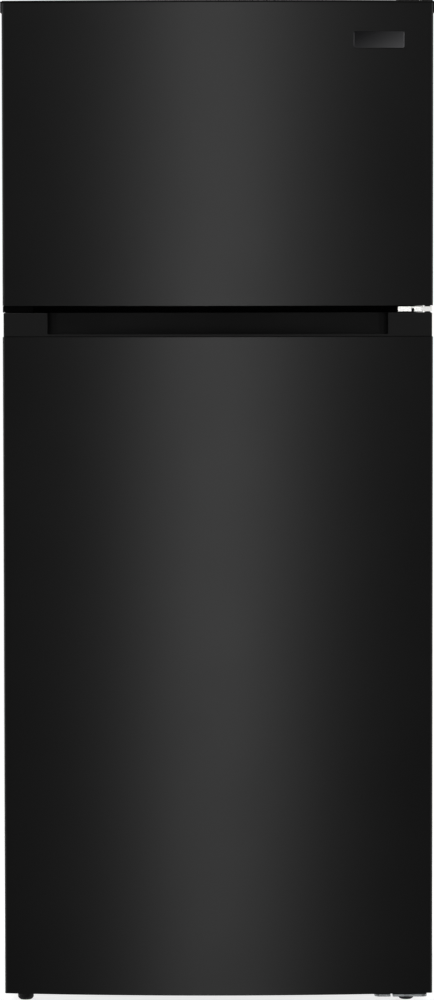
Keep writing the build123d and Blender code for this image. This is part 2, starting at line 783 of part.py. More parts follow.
shelf_levels = [FRIDGE_FLOOR + rise for rise in SHELF_RISES]
crisper_cover_level = FRIDGE_FLOOR + COVER_RISE
freezer_shelf_level = FREEZER_FLOOR + FREEZER_SHELF_RISE
shelf_front = CABINET_FRONT + SHELF_FRONT
shelf_back = LINER_BACK - DUCT_DEPTH - FIT
crisper_front = CABINET_FRONT + CRISPER_FRONT
crisper_back = HUMP_FOOT - CRISPER_GAP
freezer_shelf_front = CABINET_FRONT + FREEZER_SHELF_FRONT
freezer_shelf_back = COIL_COVER_FRONT - FIT
crisper_inner = POST_WIDTH / 2 + CRISPER_GAP
crisper_outer = CAVITY_HALF - CRISPER_GAP


def shelf_ledges(level, front, rear):
    """Moulded ledge on each side wall under a shelf whose top is at the level."""
    underside = level - SHELF_HEIGHT
    for side in (-1, 1):
        slab(
            sorted((side * (CAVITY_HALF + LINER / 2), side * (CAVITY_HALF - SHELF_LEDGE))),
            (front, rear),
            (underside - SHELF_LEDGE_HEIGHT, underside),
        )


def hump_face(level):
    """Depth of the sloping front of the hump over the compressor bay at a level."""
    share = (level - FRIDGE_FLOOR) / (HUMP_TOP - FRIDGE_FLOOR)
    return HUMP_FOOT + share * (HUMP_SHOULDER - HUMP_FOOT)


cover_back = hump_face(crisper_cover_level - SHELF_HEIGHT) - CRISPER_GAP

with BuildPart() as fridge_liner:
    add(fridge_block)
    slab(
        (-HALF, HALF),
        (DOOR_BACK - SEAL_GAP, CABINET_FRONT),
        (DOOR_BOTTOM, DOOR_TOP),
        Mode.SUBTRACT,
    )
    with BuildSketch(facing(CABINET_FRONT)):
        add(panel(CAVITY_HALF + LINER_FLANGE, FRIDGE_FLOOR - LINER_FLANGE, FRIDGE_CEILING + LINER_FLANGE))
    extrude(amount=-LINER)
    add(fridge_space, mode=Mode.SUBTRACT)
    for shelf_level in shelf_levels:
        shelf_ledges(shelf_level, shelf_front, shelf_back)
    shelf_ledges(crisper_cover_level, shelf_front, cover_back)
    for side in (-1, 1):
        for runner in (crisper_inner + RUNNER_INSET, crisper_outer - RUNNER_INSET):
            middle = side * runner
            slab(
                (middle - RUNNER_WIDTH / 2, middle + RUNNER_WIDTH / 2),
                (crisper_front, crisper_back),
                (FRIDGE_FLOOR - LINER / 2, FRIDGE_FLOOR + RUNNER_HEIGHT),
            )
write(fridge_liner, "fridge_liner")

with BuildPart() as freezer_liner:
    add(freezer_block)
    slab(
        (-HALF, HALF),
        (DOOR_BACK - SEAL_GAP, CABINET_FRONT),
        (DOOR_BOTTOM, DOOR_TOP),
        Mode.SUBTRACT,
    )
    with BuildSketch(facing(CABINET_FRONT)):
        add(panel(CAVITY_HALF + LINER_FLANGE, FREEZER_FLOOR - LINER_FLANGE, FREEZER_CEILING + LINER_FLANGE))
    extrude(amount=-LINER)
    add(freezer_space, mode=Mode.SUBTRACT)
    shelf_ledges(freezer_shelf_level, freezer_shelf_front, freezer_shelf_back)
write(freezer_liner, "freezer_liner")

# Serpentine tubes of the condenser lie in a shallow chase between each side panel and the foam
condenser_top = CABINET_TOP - CONDENSER_DROP
condenser_bottom = condenser_top - (CONDENSER_RUNS - 1) * CONDENSER_PITCH
condenser_front = CABINET_FRONT + CONDENSER_FRONT
condenser_back = CABINET_BACK - CONDENSER_BACK

with BuildPart() as condenser_coil:
    for side in (-1, 1):
        plane_x = side * (PANEL_INNER - FIT - CONDENSER_TUBE)
        ends = (condenser_front, condenser_back)
        corners = []
        for run in range(CONDENSER_RUNS):
            run_level = condenser_top - run * CONDENSER_PITCH
            corners += [(plane_x, y, run_level) for y in ends]
            ends = ends[::-1]
        with BuildLine():
            route = Polyline(*corners)
        with BuildSketch(Plane(route @ 0, z_dir=route % 0)):
            RegularPolygon(CONDENSER_TUBE, TUBE_SIDES)
        sweep(transition=Transition.RIGHT)
write(condenser_coil, "condenser_coil")

with BuildPart() as cabinet_foam:
    slab(
        (FIT - PANEL_INNER, PANEL_INNER - FIT),
        (FOAM_FRONT, FOAM_BACK),
        (CABINET_BOTTOM + BASE_SHEET, CABINET_TOP - SKIN),
    )
    add(fridge_block, mode=Mode.SUBTRACT)
    add(freezer_block, mode=Mode.SUBTRACT)
    with BuildSketch(Plane.YZ):
        with BuildLine():
            Polyline(
                (BAY_FOOT, CABINET_BOTTOM),
                (BAY_SHOULDER, BAY_TOP),
                (BACK, BAY_TOP),
                (BACK, CABINET_BOTTOM),
                close=True,
            )
        make_face()
    extrude(amount=CABINET_HALF, both=True, mode=Mode.SUBTRACT)
    for side in (-1, 1):
        slab(
            sorted((side * (PANEL_INNER - CHASE_DEPTH), side * CABINET_HALF)),
            (condenser_front - CHASE_MARGIN, condenser_back + CHASE_MARGIN),
            (condenser_bottom - CHASE_MARGIN, condenser_top + CHASE_MARGIN),
            Mode.SUBTRACT,
        )
write(cabinet_foam, "cabinet_foam")


# Shelves
def shelf_frame(levels, front, rear):
    """Moulded frames with a rebate for the glass, one at each level."""
    half = CAVITY_HALF - FIT
    with BuildPart() as frame:
        for level in levels:
            with BuildSketch(Plane.XY.offset(level - SHELF_HEIGHT)):
                with Locations((0, (front + rear) / 2)):
                    Rectangle(2 * half, rear - front)
                    Rectangle(2 * (half - SHELF_RAIL), rear - front - 2 * SHELF_RAIL, mode=Mode.SUBTRACT)
            extrude(amount=SHELF_HEIGHT)
            rebate = SHELF_RAIL - GLASS_LAP
            with BuildSketch(Plane.XY.offset(level - GLASS)):
                with Locations((0, (front + rear) / 2)):
                    Rectangle(2 * (half - rebate), rear - front - 2 * rebate)
            extrude(amount=GLASS, mode=Mode.SUBTRACT)
    return frame


def shelf_glass(levels, front, rear):
    """Glass panes that lie in the frames' rebates."""
    inset = SHELF_RAIL - GLASS_LAP + FIT
    with BuildPart() as glass:
        for level in levels:
            with BuildSketch(Plane.XY.offset(level - GLASS)):
                with Locations((0, (front + rear) / 2)):
                    Rectangle(2 * (CAVITY_HALF - FIT - inset), rear - front - 2 * inset)
            extrude(amount=GLASS)
    return glass


fridge_shelf_frames = shelf_frame(shelf_levels, shelf_front, shelf_back)
write(fridge_shelf_frames, "fridge_shelf_frames")
fridge_shelf_glass = shelf_glass(shelf_levels, shelf_front, shelf_back)
write(fridge_shelf_glass, "fridge_shelf_glass")

freezer_shelf_frame = shelf_frame([freezer_shelf_level], freezer_shelf_front, freezer_shelf_back)
write(freezer_shelf_frame, "freezer_shelf_frame")
freezer_shelf_glass = shelf_glass([freezer_shelf_level], freezer_shelf_front, freezer_shelf_back)
write(freezer_shelf_glass, "freezer_shelf_glass")

# The crisper cover's frame stands on a post between the drawers
with BuildPart() as crisper_cover_frame:
    add(shelf_frame([crisper_cover_level], shelf_front, cover_back).part)
    slab(
        (-POST_WIDTH / 2, POST_WIDTH / 2),
        (shelf_front, crisper_back),
        (FRIDGE_FLOOR, crisper_cover_level - GLASS),
    )
write(crisper_cover_frame, "crisper_cover_frame")
crisper_cover_glass = shelf_glass([crisper_cover_level], shelf_front, cover_back)
write(crisper_cover_glass, "crisper_cover_glass")


def crisper(side):
    """Drawer, open at the top, with a pull along its front edge."""
    floor = FRIDGE_FLOOR + RUNNER_HEIGHT + REST
    width = crisper_outer - crisper_inner
    length = crisper_back - crisper_front - CRISPER_LIP
    middle_x = side * (crisper_inner + crisper_outer) / 2
    middle_y = (crisper_front + CRISPER_LIP + crisper_back) / 2
    with BuildPart() as drawer:
        for wall, mode in ((0, Mode.ADD), (CRISPER_WALL, Mode.SUBTRACT)):
            with BuildSketch(Plane.XY.offset(floor + wall)) as outline:
                with Locations((middle_x, middle_y)):
                    Rectangle(width - 2 * wall, length - 2 * wall)
                chamfer(outline.vertices(), CRISPER_CORNER - wall / 2)
            extrude(amount=CRISPER_HEIGHT - wall, mode=mode)
        top = floor + CRISPER_HEIGHT
        edge = crisper_front + CRISPER_LIP + CRISPER_WALL
        pull_half = width / 2 - 2 * CRISPER_CORNER
        with BuildSketch(Plane.YZ.offset(middle_x)):
            with BuildLine():
                Polyline(
                    (edge, top),
                    (crisper_front, top),
                    (crisper_front, top - CRISPER_LIP_HEIGHT),
                    (crisper_front + CRISPER_WALL, top - CRISPER_LIP_HEIGHT),
                    (crisper_front + CRISPER_WALL, top - CRISPER_WALL),
                    (edge, top - CRISPER_WALL),
                    close=True,
                )
            make_face()
        extrude(amount=pull_half, both=True)
    return drawer


left_crisper = crisper(-1)
write(left_crisper, "left_crisper")
right_crisper = crisper(1)
write(right_crisper, "right_crisper")

# Air duct up the fridge's back wall, with a vent for each level
with BuildPart() as air_duct:
    duct_bottom = HUMP_TOP + DUCT_MARGIN
    duct_top = FRIDGE_CEILING - DUCT_MARGIN
    with BuildSketch(facing(LINER_BACK)):
        add(panel(DUCT_WIDTH / 2, duct_bottom, duct_top))
    extrude(amount=DUCT_DEPTH)
    chamfer(air_duct.faces().sort_by(Axis.Y)[0].edges(), DUCT_EDGE)
    with BuildSketch(facing(LINER_BACK - DUCT_DEPTH)):
        with Locations((0, (duct_bottom + duct_top) / 2)):
            with GridLocations(0, (duct_top - duct_bottom) / DUCT_VENTS, 1, DUCT_VENTS):
                Rectangle(DUCT_VENT_LENGTH, VENT_WIDTH)
    extrude(amount=-DUCT_DEPTH / 2, mode=Mode.SUBTRACT)
write(air_duct, "air_duct")

# Control housing under the fridge's ceiling, with the lamp's recess below and the knob's stem in front
control_bottom = FRIDGE_CEILING - CONTROL_HEIGHT
control_back = shelf_front + CONTROL_LENGTH
knob_level = FRIDGE_CEILING - CONTROL_HEIGHT / 2
lens_y = shelf_front + CONTROL_LENGTH / 2

with BuildPart() as control_housing:
    with BuildSketch(Plane.YZ) as control_side:
        with BuildLine():
            Polyline(
                (shelf_front, FRIDGE_CEILING),
                (shelf_front, control_bottom),
                (control_back - CONTROL_SLOPE, control_bottom),
                (control_back, FRIDGE_CEILING),
                close=True,
            )
        make_face()
        fillet(control_side.vertices().group_by(Axis.Y)[0], CONTROL_RADIUS)
    extrude(amount=CONTROL_WIDTH / 2, both=True)
    slab(
        (-LENS_SHIFT - LENS_WIDTH / 2 - FIT, -LENS_SHIFT + LENS_WIDTH / 2 + FIT),
        (lens_y - LENS_LENGTH / 2 - FIT, lens_y + LENS_LENGTH / 2 + FIT),
        (control_bottom, control_bottom + LENS_THICKNESS + FIT),
        Mode.SUBTRACT,
    )
    with BuildSketch(facing(shelf_front)):
        with Locations((KNOB_OFFSET, knob_level)):
            Circle(KNOB_STEM + PIN_PLAY)
    extrude(amount=-KNOB_LENGTH, mode=Mode.SUBTRACT)
write(control_housing, "control_housing")

with BuildPart() as lamp_lens:
    with BuildSketch(Plane.XY.offset(control_bottom)):
        with Locations((-LENS_SHIFT, lens_y)):
            Rectangle(LENS_WIDTH, LENS_LENGTH)
    extrude(amount=LENS_THICKNESS)
write(lamp_lens, "lamp_lens")

with BuildPart() as temperature_knob:
    with BuildSketch(facing(shelf_front - REST)):
        with Locations((KNOB_OFFSET, knob_level)):
            RegularPolygon(KNOB_SKIRT, KNOB_SIDES)
    extrude(amount=KNOB_SKIRT_LENGTH)
    with BuildSketch(facing(shelf_front - REST - KNOB_SKIRT_LENGTH)):
        with Locations((KNOB_OFFSET, knob_level)):
            Rectangle(KNOB_GRIP, 2 * KNOB_RADIUS)
    extrude(amount=KNOB_LENGTH - KNOB_SKIRT_LENGTH)
    with BuildSketch(facing(shelf_front - REST)):
        with Locations((KNOB_OFFSET, knob_level)):
            Circle(KNOB_STEM)
    extrude(amount=-(KNOB_LENGTH - REST))
write(temperature_knob, "temperature_knob")

# Freezer's rear: grilled cover, fan on its motor, finned coil and defrost heater
fan_level = FREEZER_FLOOR + FAN_RISE
cover_rear = COIL_COVER_FRONT + COVER_PANEL

with BuildPart() as evaporator_cover:
    with BuildSketch(facing(COIL_COVER_FRONT)):
        add(panel(CAVITY_HALF - FIT, FREEZER_FLOOR + FIT, FREEZER_CEILING - FIT, LINER_RADIUS))
        with Locations((0, fan_level)):
            with GridLocations(0, GRILLE_PITCH, 1, GRILLE_SLOTS):
                Rectangle(GRILLE_LENGTH, GRILLE_SLOT, mode=Mode.SUBTRACT)
        with Locations((0, FREEZER_FLOOR + RETURN_RISE)):
            with GridLocations(RETURN_PITCH, 0, RETURN_SLOTS, 1):
                Rectangle(GRILLE_SLOT, RETURN_LENGTH, mode=Mode.SUBTRACT)
    extrude(amount=-COVER_PANEL)
write(evaporator_cover, "evaporator_cover")

strap_front = cover_rear + 2 * FAN_GAP + FAN_LENGTH

with BuildPart() as evaporator_fan_motor:
    with BuildSketch(Plane.XY.offset(fan_level - STRAP_WIDTH / 2)):
        add(
            strip(
                (
                    (-STRAP_HALF, cover_rear),
                    (-STRAP_HALF, strap_front),
                    (STRAP_HALF, strap_front),
                    (STRAP_HALF, cover_rear),
                ),
                STRAP_SHEET,
                Side.LEFT,
            )
        )
    extrude(amount=STRAP_WIDTH)
    with BuildSketch(facing(strap_front)):
        with Locations((0, fan_level)):
            RegularPolygon(MOTOR_RADIUS, MOTOR_SIDES)
    extrude(amount=-MOTOR_LENGTH)
    with BuildSketch(facing(strap_front)):
        with Locations((0, fan_level)):
            RegularPolygon(SHAFT_RADIUS, AXLE_SIDES)
    extrude(amount=FAN_GAP + FAN_LENGTH)
write(evaporator_fan_motor, "evaporator_fan_motor")

fan_front = cover_rear + FAN_GAP
fan_middle = fan_front + FAN_LENGTH / 2

with BuildPart() as evaporator_fan:
    with BuildSketch(facing(fan_front)):
        with Locations((0, fan_level)):
            RegularPolygon(FAN_HUB, MOTOR_SIDES)
    extrude(amount=-FAN_LENGTH)
    for blade in range(FAN_BLADES):
        turn = math.radians(90 + blade * 360 / FAN_BLADES)
        pitch = math.radians(BLADE_PITCH)
        outward = Vector(math.cos(turn), 0, math.sin(turn))
        along = Vector(-math.sin(turn), 0, math.cos(turn))
        chord = along * math.cos(pitch) + Vector(0, 1, 0) * math.sin(pitch)
        root = Vector(0, fan_middle, fan_level) + outward * (FAN_HUB - BLADE_THICKNESS)
        with BuildSketch(Plane(root, x_dir=chord, z_dir=outward)):
            Rectangle(BLADE_CHORD, BLADE_THICKNESS)
        extrude(amount=FAN_RADIUS - FAN_HUB + BLADE_THICKNESS)
    with BuildSketch(facing(fan_front)):
        with Locations((0, fan_level)):
            Circle(SHAFT_RADIUS + PIN_PLAY)
    extrude(amount=-FAN_LENGTH, mode=Mode.SUBTRACT)
write(evaporator_fan, "evaporator_fan")

coil_bottom = FREEZER_FLOOR + COIL_RISE
coil_top = coil_bottom + COIL_ROWS * COIL_ROW_PITCH
coil_rear = LINER_BACK - FIT
coil_middle = coil_rear - FIN_DEPTH / 2
bend_half = CAVITY_HALF - COIL_END
fin_half = bend_half - COIL_ROW_PITCH
fin_pitch = 2 * fin_half / (FIN_COUNT - 1)

with BuildPart() as evaporator_coil:
    ends = (-bend_half, bend_half)
    corners = []
    for row in range(COIL_ROWS):
        row_level = coil_bottom + (row + 0.5) * COIL_ROW_PITCH
        corners += [(x, coil_middle, row_level) for x in ends]
        ends = ends[::-1]
    with BuildLine():
        route = Polyline(*corners)
    with BuildSketch(Plane(route @ 0, z_dir=route % 0)):
        RegularPolygon(COIL_TUBE, TUBE_SIDES)
    sweep(transition=Transition.RIGHT)
    for fin in range(FIN_COUNT):
        fin_x = fin * fin_pitch - fin_half
        slab(
            (fin_x - FIN_SHEET / 2, fin_x + FIN_SHEET / 2),
            (coil_rear - FIN_DEPTH, coil_rear),
            (coil_bottom, coil_top),
        )
write(evaporator_coil, "evaporator_coil")

with BuildPart() as defrost_heater:
    heater_level = coil_bottom - REST - HEATER_RADIUS
    heater_half = fin_half - fin_pitch / 2
    with BuildLine():
        route = Polyline(
            (-heater_half, coil_rear - FIN_DEPTH + HEATER_RADIUS, heater_level),
            (heater_half, coil_rear - FIN_DEPTH + HEATER_RADIUS, heater_level),
            (heater_half, coil_rear - HEATER_RADIUS, heater_level),
            (-heater_half, coil_rear - HEATER_RADIUS, heater_level),
        )
    with BuildSketch(Plane(route @ 0, z_dir=route % 0)):
        RegularPolygon(HEATER_RADIUS, TUBE_SIDES)
    sweep(transition=Transition.RIGHT)
write(defrost_heater, "defrost_heater")

# Compressor bay
rail_front = BAY_FOOT + RAIL_FLANGE
rail_back = CABINET_BACK - SKIN - FIT
roller_y = CABINET_BACK - ROLLER_SETBACK
roller_x = CABINET_HALF - ROLLER_INSET
ear_inner = ROLLER_WIDTH / 2 + REST
rail_top = CABINET_BOTTOM + RAIL_SHEET

with BuildPart() as compressor_rail:
    with BuildSketch(Plane.YZ):
        add(
            strip(
                (
                    (rail_front, CABINET_BOTTOM + RAIL_FLANGE),
                    (rail_front, CABINET_BOTTOM),
                    (rail_back, CABINET_BOTTOM),
                    (rail_back, CABINET_BOTTOM + RAIL_FLANGE),
                ),
                RAIL_SHEET,
                Side.LEFT,
            )
        )
    extrude(amount=PANEL_INNER - FIT, both=True)
    for side in (-1, 1):
        for ear in (-1, 1):
            near = side * roller_x + ear * ear_inner
            far = near + ear * EAR_SHEET
            slab(
                sorted((near, far)),
                (roller_y - BRACKET_WIDTH / 2, roller_y + BRACKET_WIDTH / 2),
                (ROLLER_RADIUS - BRACKET_WIDTH / 2 + AXLE_RADIUS, CABINET_BOTTOM),
            )
write(compressor_rail, "compressor_rail")


def roller(side):
    """Rear wheel, bored for its axle."""
    with BuildPart() as wheel:
        with BuildSketch(Plane.YZ.offset(side * roller_x)):
            with Locations((roller_y, ROLLER_RADIUS)):
                RegularPolygon(ROLLER_RADIUS, ROLLER_SIDES)
                Circle(AXLE_RADIUS + PIN_PLAY, mode=Mode.SUBTRACT)
        extrude(amount=ROLLER_WIDTH / 2, both=True)
    return wheel


left_roller = roller(-1)
write(left_roller, "left_roller")
right_roller = roller(1)
write(right_roller, "right_roller")

# Each axle is riveted between the two ears of its bracket
with BuildPart() as roller_axles:
    for side in (-1, 1):
        with BuildSketch(Plane.YZ.offset(side * roller_x)):
            with Locations((roller_y, ROLLER_RADIUS)):
                RegularPolygon(AXLE_RADIUS, AXLE_SIDES)
        extrude(amount=ear_inner, both=True)
write(roller_axles, "roller_axles")

compressor_y = (BAY_SHOULDER + CABINET_BACK) / 2
mount_top = rail_top + MOUNT_HEIGHT
shell_bottom = mount_top + FOOT_SHEET
shell_top = shell_bottom + COMPRESSOR_HEIGHT

with BuildPart() as compressor_grommets:
    with BuildSketch(Plane.XY.offset(rail_top)):
        with Locations((COMPRESSOR_X, compressor_y)):
            with GridLocations(MOUNT_DISTANCE, MOUNT_DISTANCE, 2, 2):
                RegularPolygon(MOUNT_RADIUS, MOUNT_SIDES)
    extrude(amount=MOUNT_HEIGHT)
write(compressor_grommets, "compressor_grommets")

# Hermetic shell: domed can on a foot plate
with BuildPart() as compressor:
    with BuildSketch(Plane.XY.offset(mount_top)):
        with Locations((COMPRESSOR_X, compressor_y)):
            Rectangle(MOUNT_DISTANCE + 3 * MOUNT_RADIUS, MOUNT_DISTANCE + 3 * MOUNT_RADIUS)
    extrude(amount=FOOT_SHEET)
    with BuildSketch(Plane.XY.offset(shell_bottom)):
        with Locations((COMPRESSOR_X, compressor_y)):
            RegularPolygon(COMPRESSOR_RADIUS, COMPRESSOR_SIDES)
    extrude(amount=COMPRESSOR_HEIGHT)
    chamfer(compressor.faces().sort_by(Axis.Z)[-1].edges(), COMPRESSOR_DOME)
write(compressor, "compressor")

# Condensate pan on the compressor's crown
with BuildPart() as drain_pan:
    for wall, mode in ((0, Mode.ADD), (PAN_WALL, Mode.SUBTRACT)):
        with BuildSketch(Plane.XY.offset(shell_top + wall)):
            with Locations((COMPRESSOR_X, compressor_y)):
                Rectangle(PAN_WIDTH - 2 * wall, PAN_DEPTH - 2 * wall)
        extrude(amount=PAN_HEIGHT, mode=mode)
write(drain_pan, "drain_pan")

# Discharge and return lines, with the drier on the discharge line
with BuildPart() as refrigerant_lines:
    line_level = shell_bottom + TUBE_RUN
    line_top = BAY_TOP - BASE_SHEET - FIT
    for side in (-1, 1):
        line_x = COMPRESSOR_X + side * (COMPRESSOR_RADIUS + FIT)
        turn_x = line_x + side * TUBE_RUN
        with BuildLine():
            route = Polyline(
                (line_x, compressor_y, line_level),
                (turn_x, compressor_y, line_level),
                (turn_x, compressor_y, line_top),
            )
        with BuildSketch(Plane(route @ 0, z_dir=route % 0)):
            RegularPolygon(TUBE_RADIUS, TUBE_SIDES)
        sweep(transition=Transition.RIGHT)
    with BuildSketch(Plane.XY.offset(line_level + DRIER_RADIUS)):
        with Locations((turn_x, compressor_y)):
            RegularPolygon(DRIER_RADIUS, MOUNT_SIDES)
    extrude(amount=DRIER_LENGTH)
write(refrigerant_lines, "refrigerant_lines")

# Rear cover: a pressed pan with vents and a flat end for the power lead's gland
cover_bottom = CABINET_BOTTOM + RAIL_FLANGE
cover_top = BAY_TOP + COVER_LAP
cover_half = CABINET_HALF - FIT
pan_left = COVER_MARGIN - cover_half
pan_right = cover_half - COVER_FLAT
pan_middle = (pan_left + pan_right) / 2
cover_middle = (cover_bottom + cover_top) / 2
gland_x = cover_half - COVER_FLAT / 2
gland_z = cover_bottom + COVER_MARGIN + GLAND_RADIUS

with BuildPart() as bay_cover:
    with BuildSketch(facing(CABINET_BACK)):
        add(panel(cover_half, cover_bottom, cover_top))
    extrude(amount=-COVER_SHEET)
    for wall, mode in ((0, Mode.ADD), (COVER_SHEET, Mode.SUBTRACT)):
        with BuildSketch(facing(CABINET_BACK)):
            with Locations((pan_middle, cover_middle)):
                RectangleRounded(
                    pan_right - pan_left - 2 * wall,
                    cover_top - cover_bottom - 2 * COVER_MARGIN - 2 * wall,
                    COVER_RADIUS - wall,
                )
        extrude(amount=-(REAR_BULGE - wall), mode=mode)
    with BuildSketch(facing(CABINET_BACK)):
        with Locations((pan_middle, cover_middle)):
            with GridLocations(VENT_LENGTH + VENT_PITCH, VENT_PITCH, VENT_COLUMNS, VENT_ROWS):
                Rectangle(VENT_LENGTH, VENT_WIDTH)
    extrude(amount=-REAR_BULGE, mode=Mode.SUBTRACT)
    with BuildSketch(facing(CABINET_BACK)):
        with Locations((gland_x, gland_z)):
            RegularPolygon(GLAND_RADIUS + FIT, GLAND_SIDES)
    extrude(amount=-COVER_SHEET, mode=Mode.SUBTRACT)
write(bay_cover, "bay_cover")

with BuildPart() as cord_gland:
    with BuildSketch(facing(CABINET_BACK - GLAND_FLANGE)):
        with Locations((gland_x, gland_z)):
            RegularPolygon(GLAND_RADIUS, GLAND_SIDES)
    extrude(amount=-(2 * GLAND_FLANGE + COVER_SHEET))
    with BuildSketch(facing(CABINET_BACK + COVER_SHEET)):
        with Locations((gland_x, gland_z)):
            RegularPolygon(GLAND_RADIUS + GLAND_FLANGE, GLAND_SIDES)
    extrude(amount=-GLAND_FLANGE)
    with BuildSketch(facing(CABINET_BACK - GLAND_FLANGE)):
        with Locations((gland_x, gland_z)):
            RegularPolygon(GLAND_BORE, GLAND_SIDES)
    extrude(amount=-(2 * GLAND_FLANGE + COVER_SHEET), mode=Mode.SUBTRACT)
write(cord_gland, "cord_gland")

# Hinges
arm_bottom = DOOR_TOP + LEAF_CLEARANCE
top_hinge_back = CABINET_FRONT + TOP_HINGE_LENGTH
top_screws = [
    (HINGE_X + side * TOP_HINGE_SPAN / 2, y)
    for side in (-1, 1)
    for y in (CABINET_FRONT + 2 * JOGGLE + LEAF, top_hinge_back - 2 * LEAF)
]

with BuildPart() as top_hinge:
    with BuildSketch(Plane.YZ.offset(HINGE_X)):
        add(
            strip(
                (
                    (HINGE_Y - LEAF_REACH, arm_bottom),
                    (CABINET_FRONT, arm_bottom),
                    (CABINET_FRONT + JOGGLE, CABINET_TOP),
                    (top_hinge_back, CABINET_TOP),
                ),
                LEAF,
                Side.LEFT,
            )
        )
    extrude(amount=TOP_HINGE_SPAN, both=True)
    fillet(top_hinge.edges().filter_by(Axis.Z).group_by(Axis.Y)[0], COLLAR_RADIUS)
    upright(PIN_RADIUS, HINGE_X, HINGE_Y, DOOR_TOP - PIN_REACH, arm_bottom)
    with BuildSketch(Plane.XY.offset(CABINET_TOP)):
        with Locations(*top_screws):
            RegularPolygon(SCREW_RADIUS + FIT, SCREW_SIDES)
    extrude(amount=LEAF, mode=Mode.SUBTRACT)
write(top_hinge, "top_hinge")

with BuildPart() as top_hinge_cover:
    cover_left = HINGE_X - HINGE_COVER_SPAN
    cover_right = HALF - FIT
    cover_front = HINGE_Y - LEAF_REACH - HINGE_COVER_WALL - FIT
    cover_end = top_hinge_back + HINGE_COVER_WALL + HINGE_COVER_RADIUS
    for wall, mode in ((0, Mode.ADD), (HINGE_COVER_WALL, Mode.SUBTRACT)):
        with BuildSketch(Plane.XY.offset(CABINET_TOP)):
            with Locations(((cover_left + cover_right) / 2, (cover_front + cover_end) / 2)):
                RectangleRounded(
                    cover_right - cover_left - 2 * wall,
                    cover_end - cover_front - 2 * wall,
                    HINGE_COVER_RADIUS - wall,
                )
        extrude(amount=HINGE_COVER_HEIGHT - wall, mode=mode)
        if not wall:
            chamfer(top_hinge_cover.faces().sort_by(Axis.Z)[-1].edges(), HINGE_COVER_WALL)
    slab(
        (cover_left - FIT, cover_right + FIT),
        (cover_front - FIT, CABINET_FRONT),
        (CABINET_TOP, arm_bottom - FIT),
        Mode.SUBTRACT,
    )
write(top_hinge_cover, "top_hinge_cover")

# Middle hinge: a leaf with turned-down edges in the gap between the doors, on a screwed flange
leaf_front = HINGE_Y - LEAF_REACH
leaf_top = DOOR_SPLIT - LEAF_CLEARANCE
leaf_bottom = FRIDGE_DOOR_TOP + LEAF_CLEARANCE
flange_bottom = GAP_MIDDLE - FLANGE_HEIGHT / 2
flange_top = GAP_MIDDLE + FLANGE_HEIGHT / 2
flange_screws = (HINGE_X - FLANGE_FAR + 2 * SCREW_HEAD, HINGE_X - (FLANGE_FAR + MIDDLE_LEAF_SPAN) / 2)


def middle_leaf(inset):
    """Leaf seen from above, with its outer front corner cut back."""
    near = HINGE_X + LEAF_END - inset
    with BuildSketch() as outline:
        with BuildLine():
            Polyline(
                (HINGE_X - MIDDLE_LEAF_SPAN + inset, CABINET_FRONT),
                (HINGE_X - MIDDLE_LEAF_SPAN + inset, leaf_front + inset),
                (HINGE_X + LEAF, leaf_front + inset),
                (near, HINGE_Y),
                (near, CABINET_FRONT),
                close=True,
            )
        make_face()
    return outline.sketch


with BuildPart() as middle_hinge:
    with BuildSketch(Plane.XY.offset(leaf_bottom)):
        add(middle_leaf(0))
    extrude(amount=leaf_top - leaf_bottom)
    with BuildSketch(Plane.XY.offset(leaf_bottom)):
        add(middle_leaf(LEAF_WALL))
    extrude(amount=leaf_top - leaf_bottom - LEAF_WALL, mode=Mode.SUBTRACT)
    notch_x = HINGE_X - MIDDLE_NOTCH_OFFSET
    slab(
        (notch_x - MIDDLE_NOTCH / 2, notch_x + MIDDLE_NOTCH / 2),
        (leaf_front, leaf_front + MIDDLE_NOTCH_DEPTH),
        (leaf_bottom, leaf_top),
        Mode.SUBTRACT,
    )
    slab(
        (HINGE_X - FLANGE_FAR, HINGE_X - FLANGE_NEAR),
        (CABINET_FRONT - LEAF, CABINET_FRONT),
        (flange_bottom, flange_top),
    )
    prism(COLLAR_RADIUS, COLLAR_SIDES, HINGE_X, HINGE_Y, FRIDGE_DOOR_TOP + REST, DOOR_SPLIT - REST)
    upright(PIN_RADIUS, HINGE_X, HINGE_Y, FRIDGE_DOOR_TOP - PIN_REACH, DOOR_SPLIT + PIN_REACH)
    with BuildSketch(facing(CABINET_FRONT)):
        for screw_x in flange_screws:
            with Locations((screw_x, GAP_MIDDLE)):
                RegularPolygon(SCREW_RADIUS + FIT, SCREW_SIDES)
    extrude(amount=LEAF, mode=Mode.SUBTRACT)
write(middle_hinge, "middle_hinge")

# Bottom hinge: a stepped plate under the cabinet that carries the pin in front and a foot behind
bottom_leaf_bottom = BOTTOM_LEAF_TOP - LEAF
riser_y = CABINET_FRONT + BOTTOM_RISER
bottom_hinge_back = riser_y + BOTTOM_LENGTH
bottom_hinge_left = HINGE_X - BOTTOM_LEAF_SPAN
bottom_hinge_right = HINGE_X + BOTTOM_LEAF_END
bottom_screws = [
    (x, bottom_hinge_back - 2 * SCREW_HEAD)
    for x in (bottom_hinge_left + 2 * SCREW_HEAD, bottom_hinge_right - 2 * SCREW_HEAD)
]

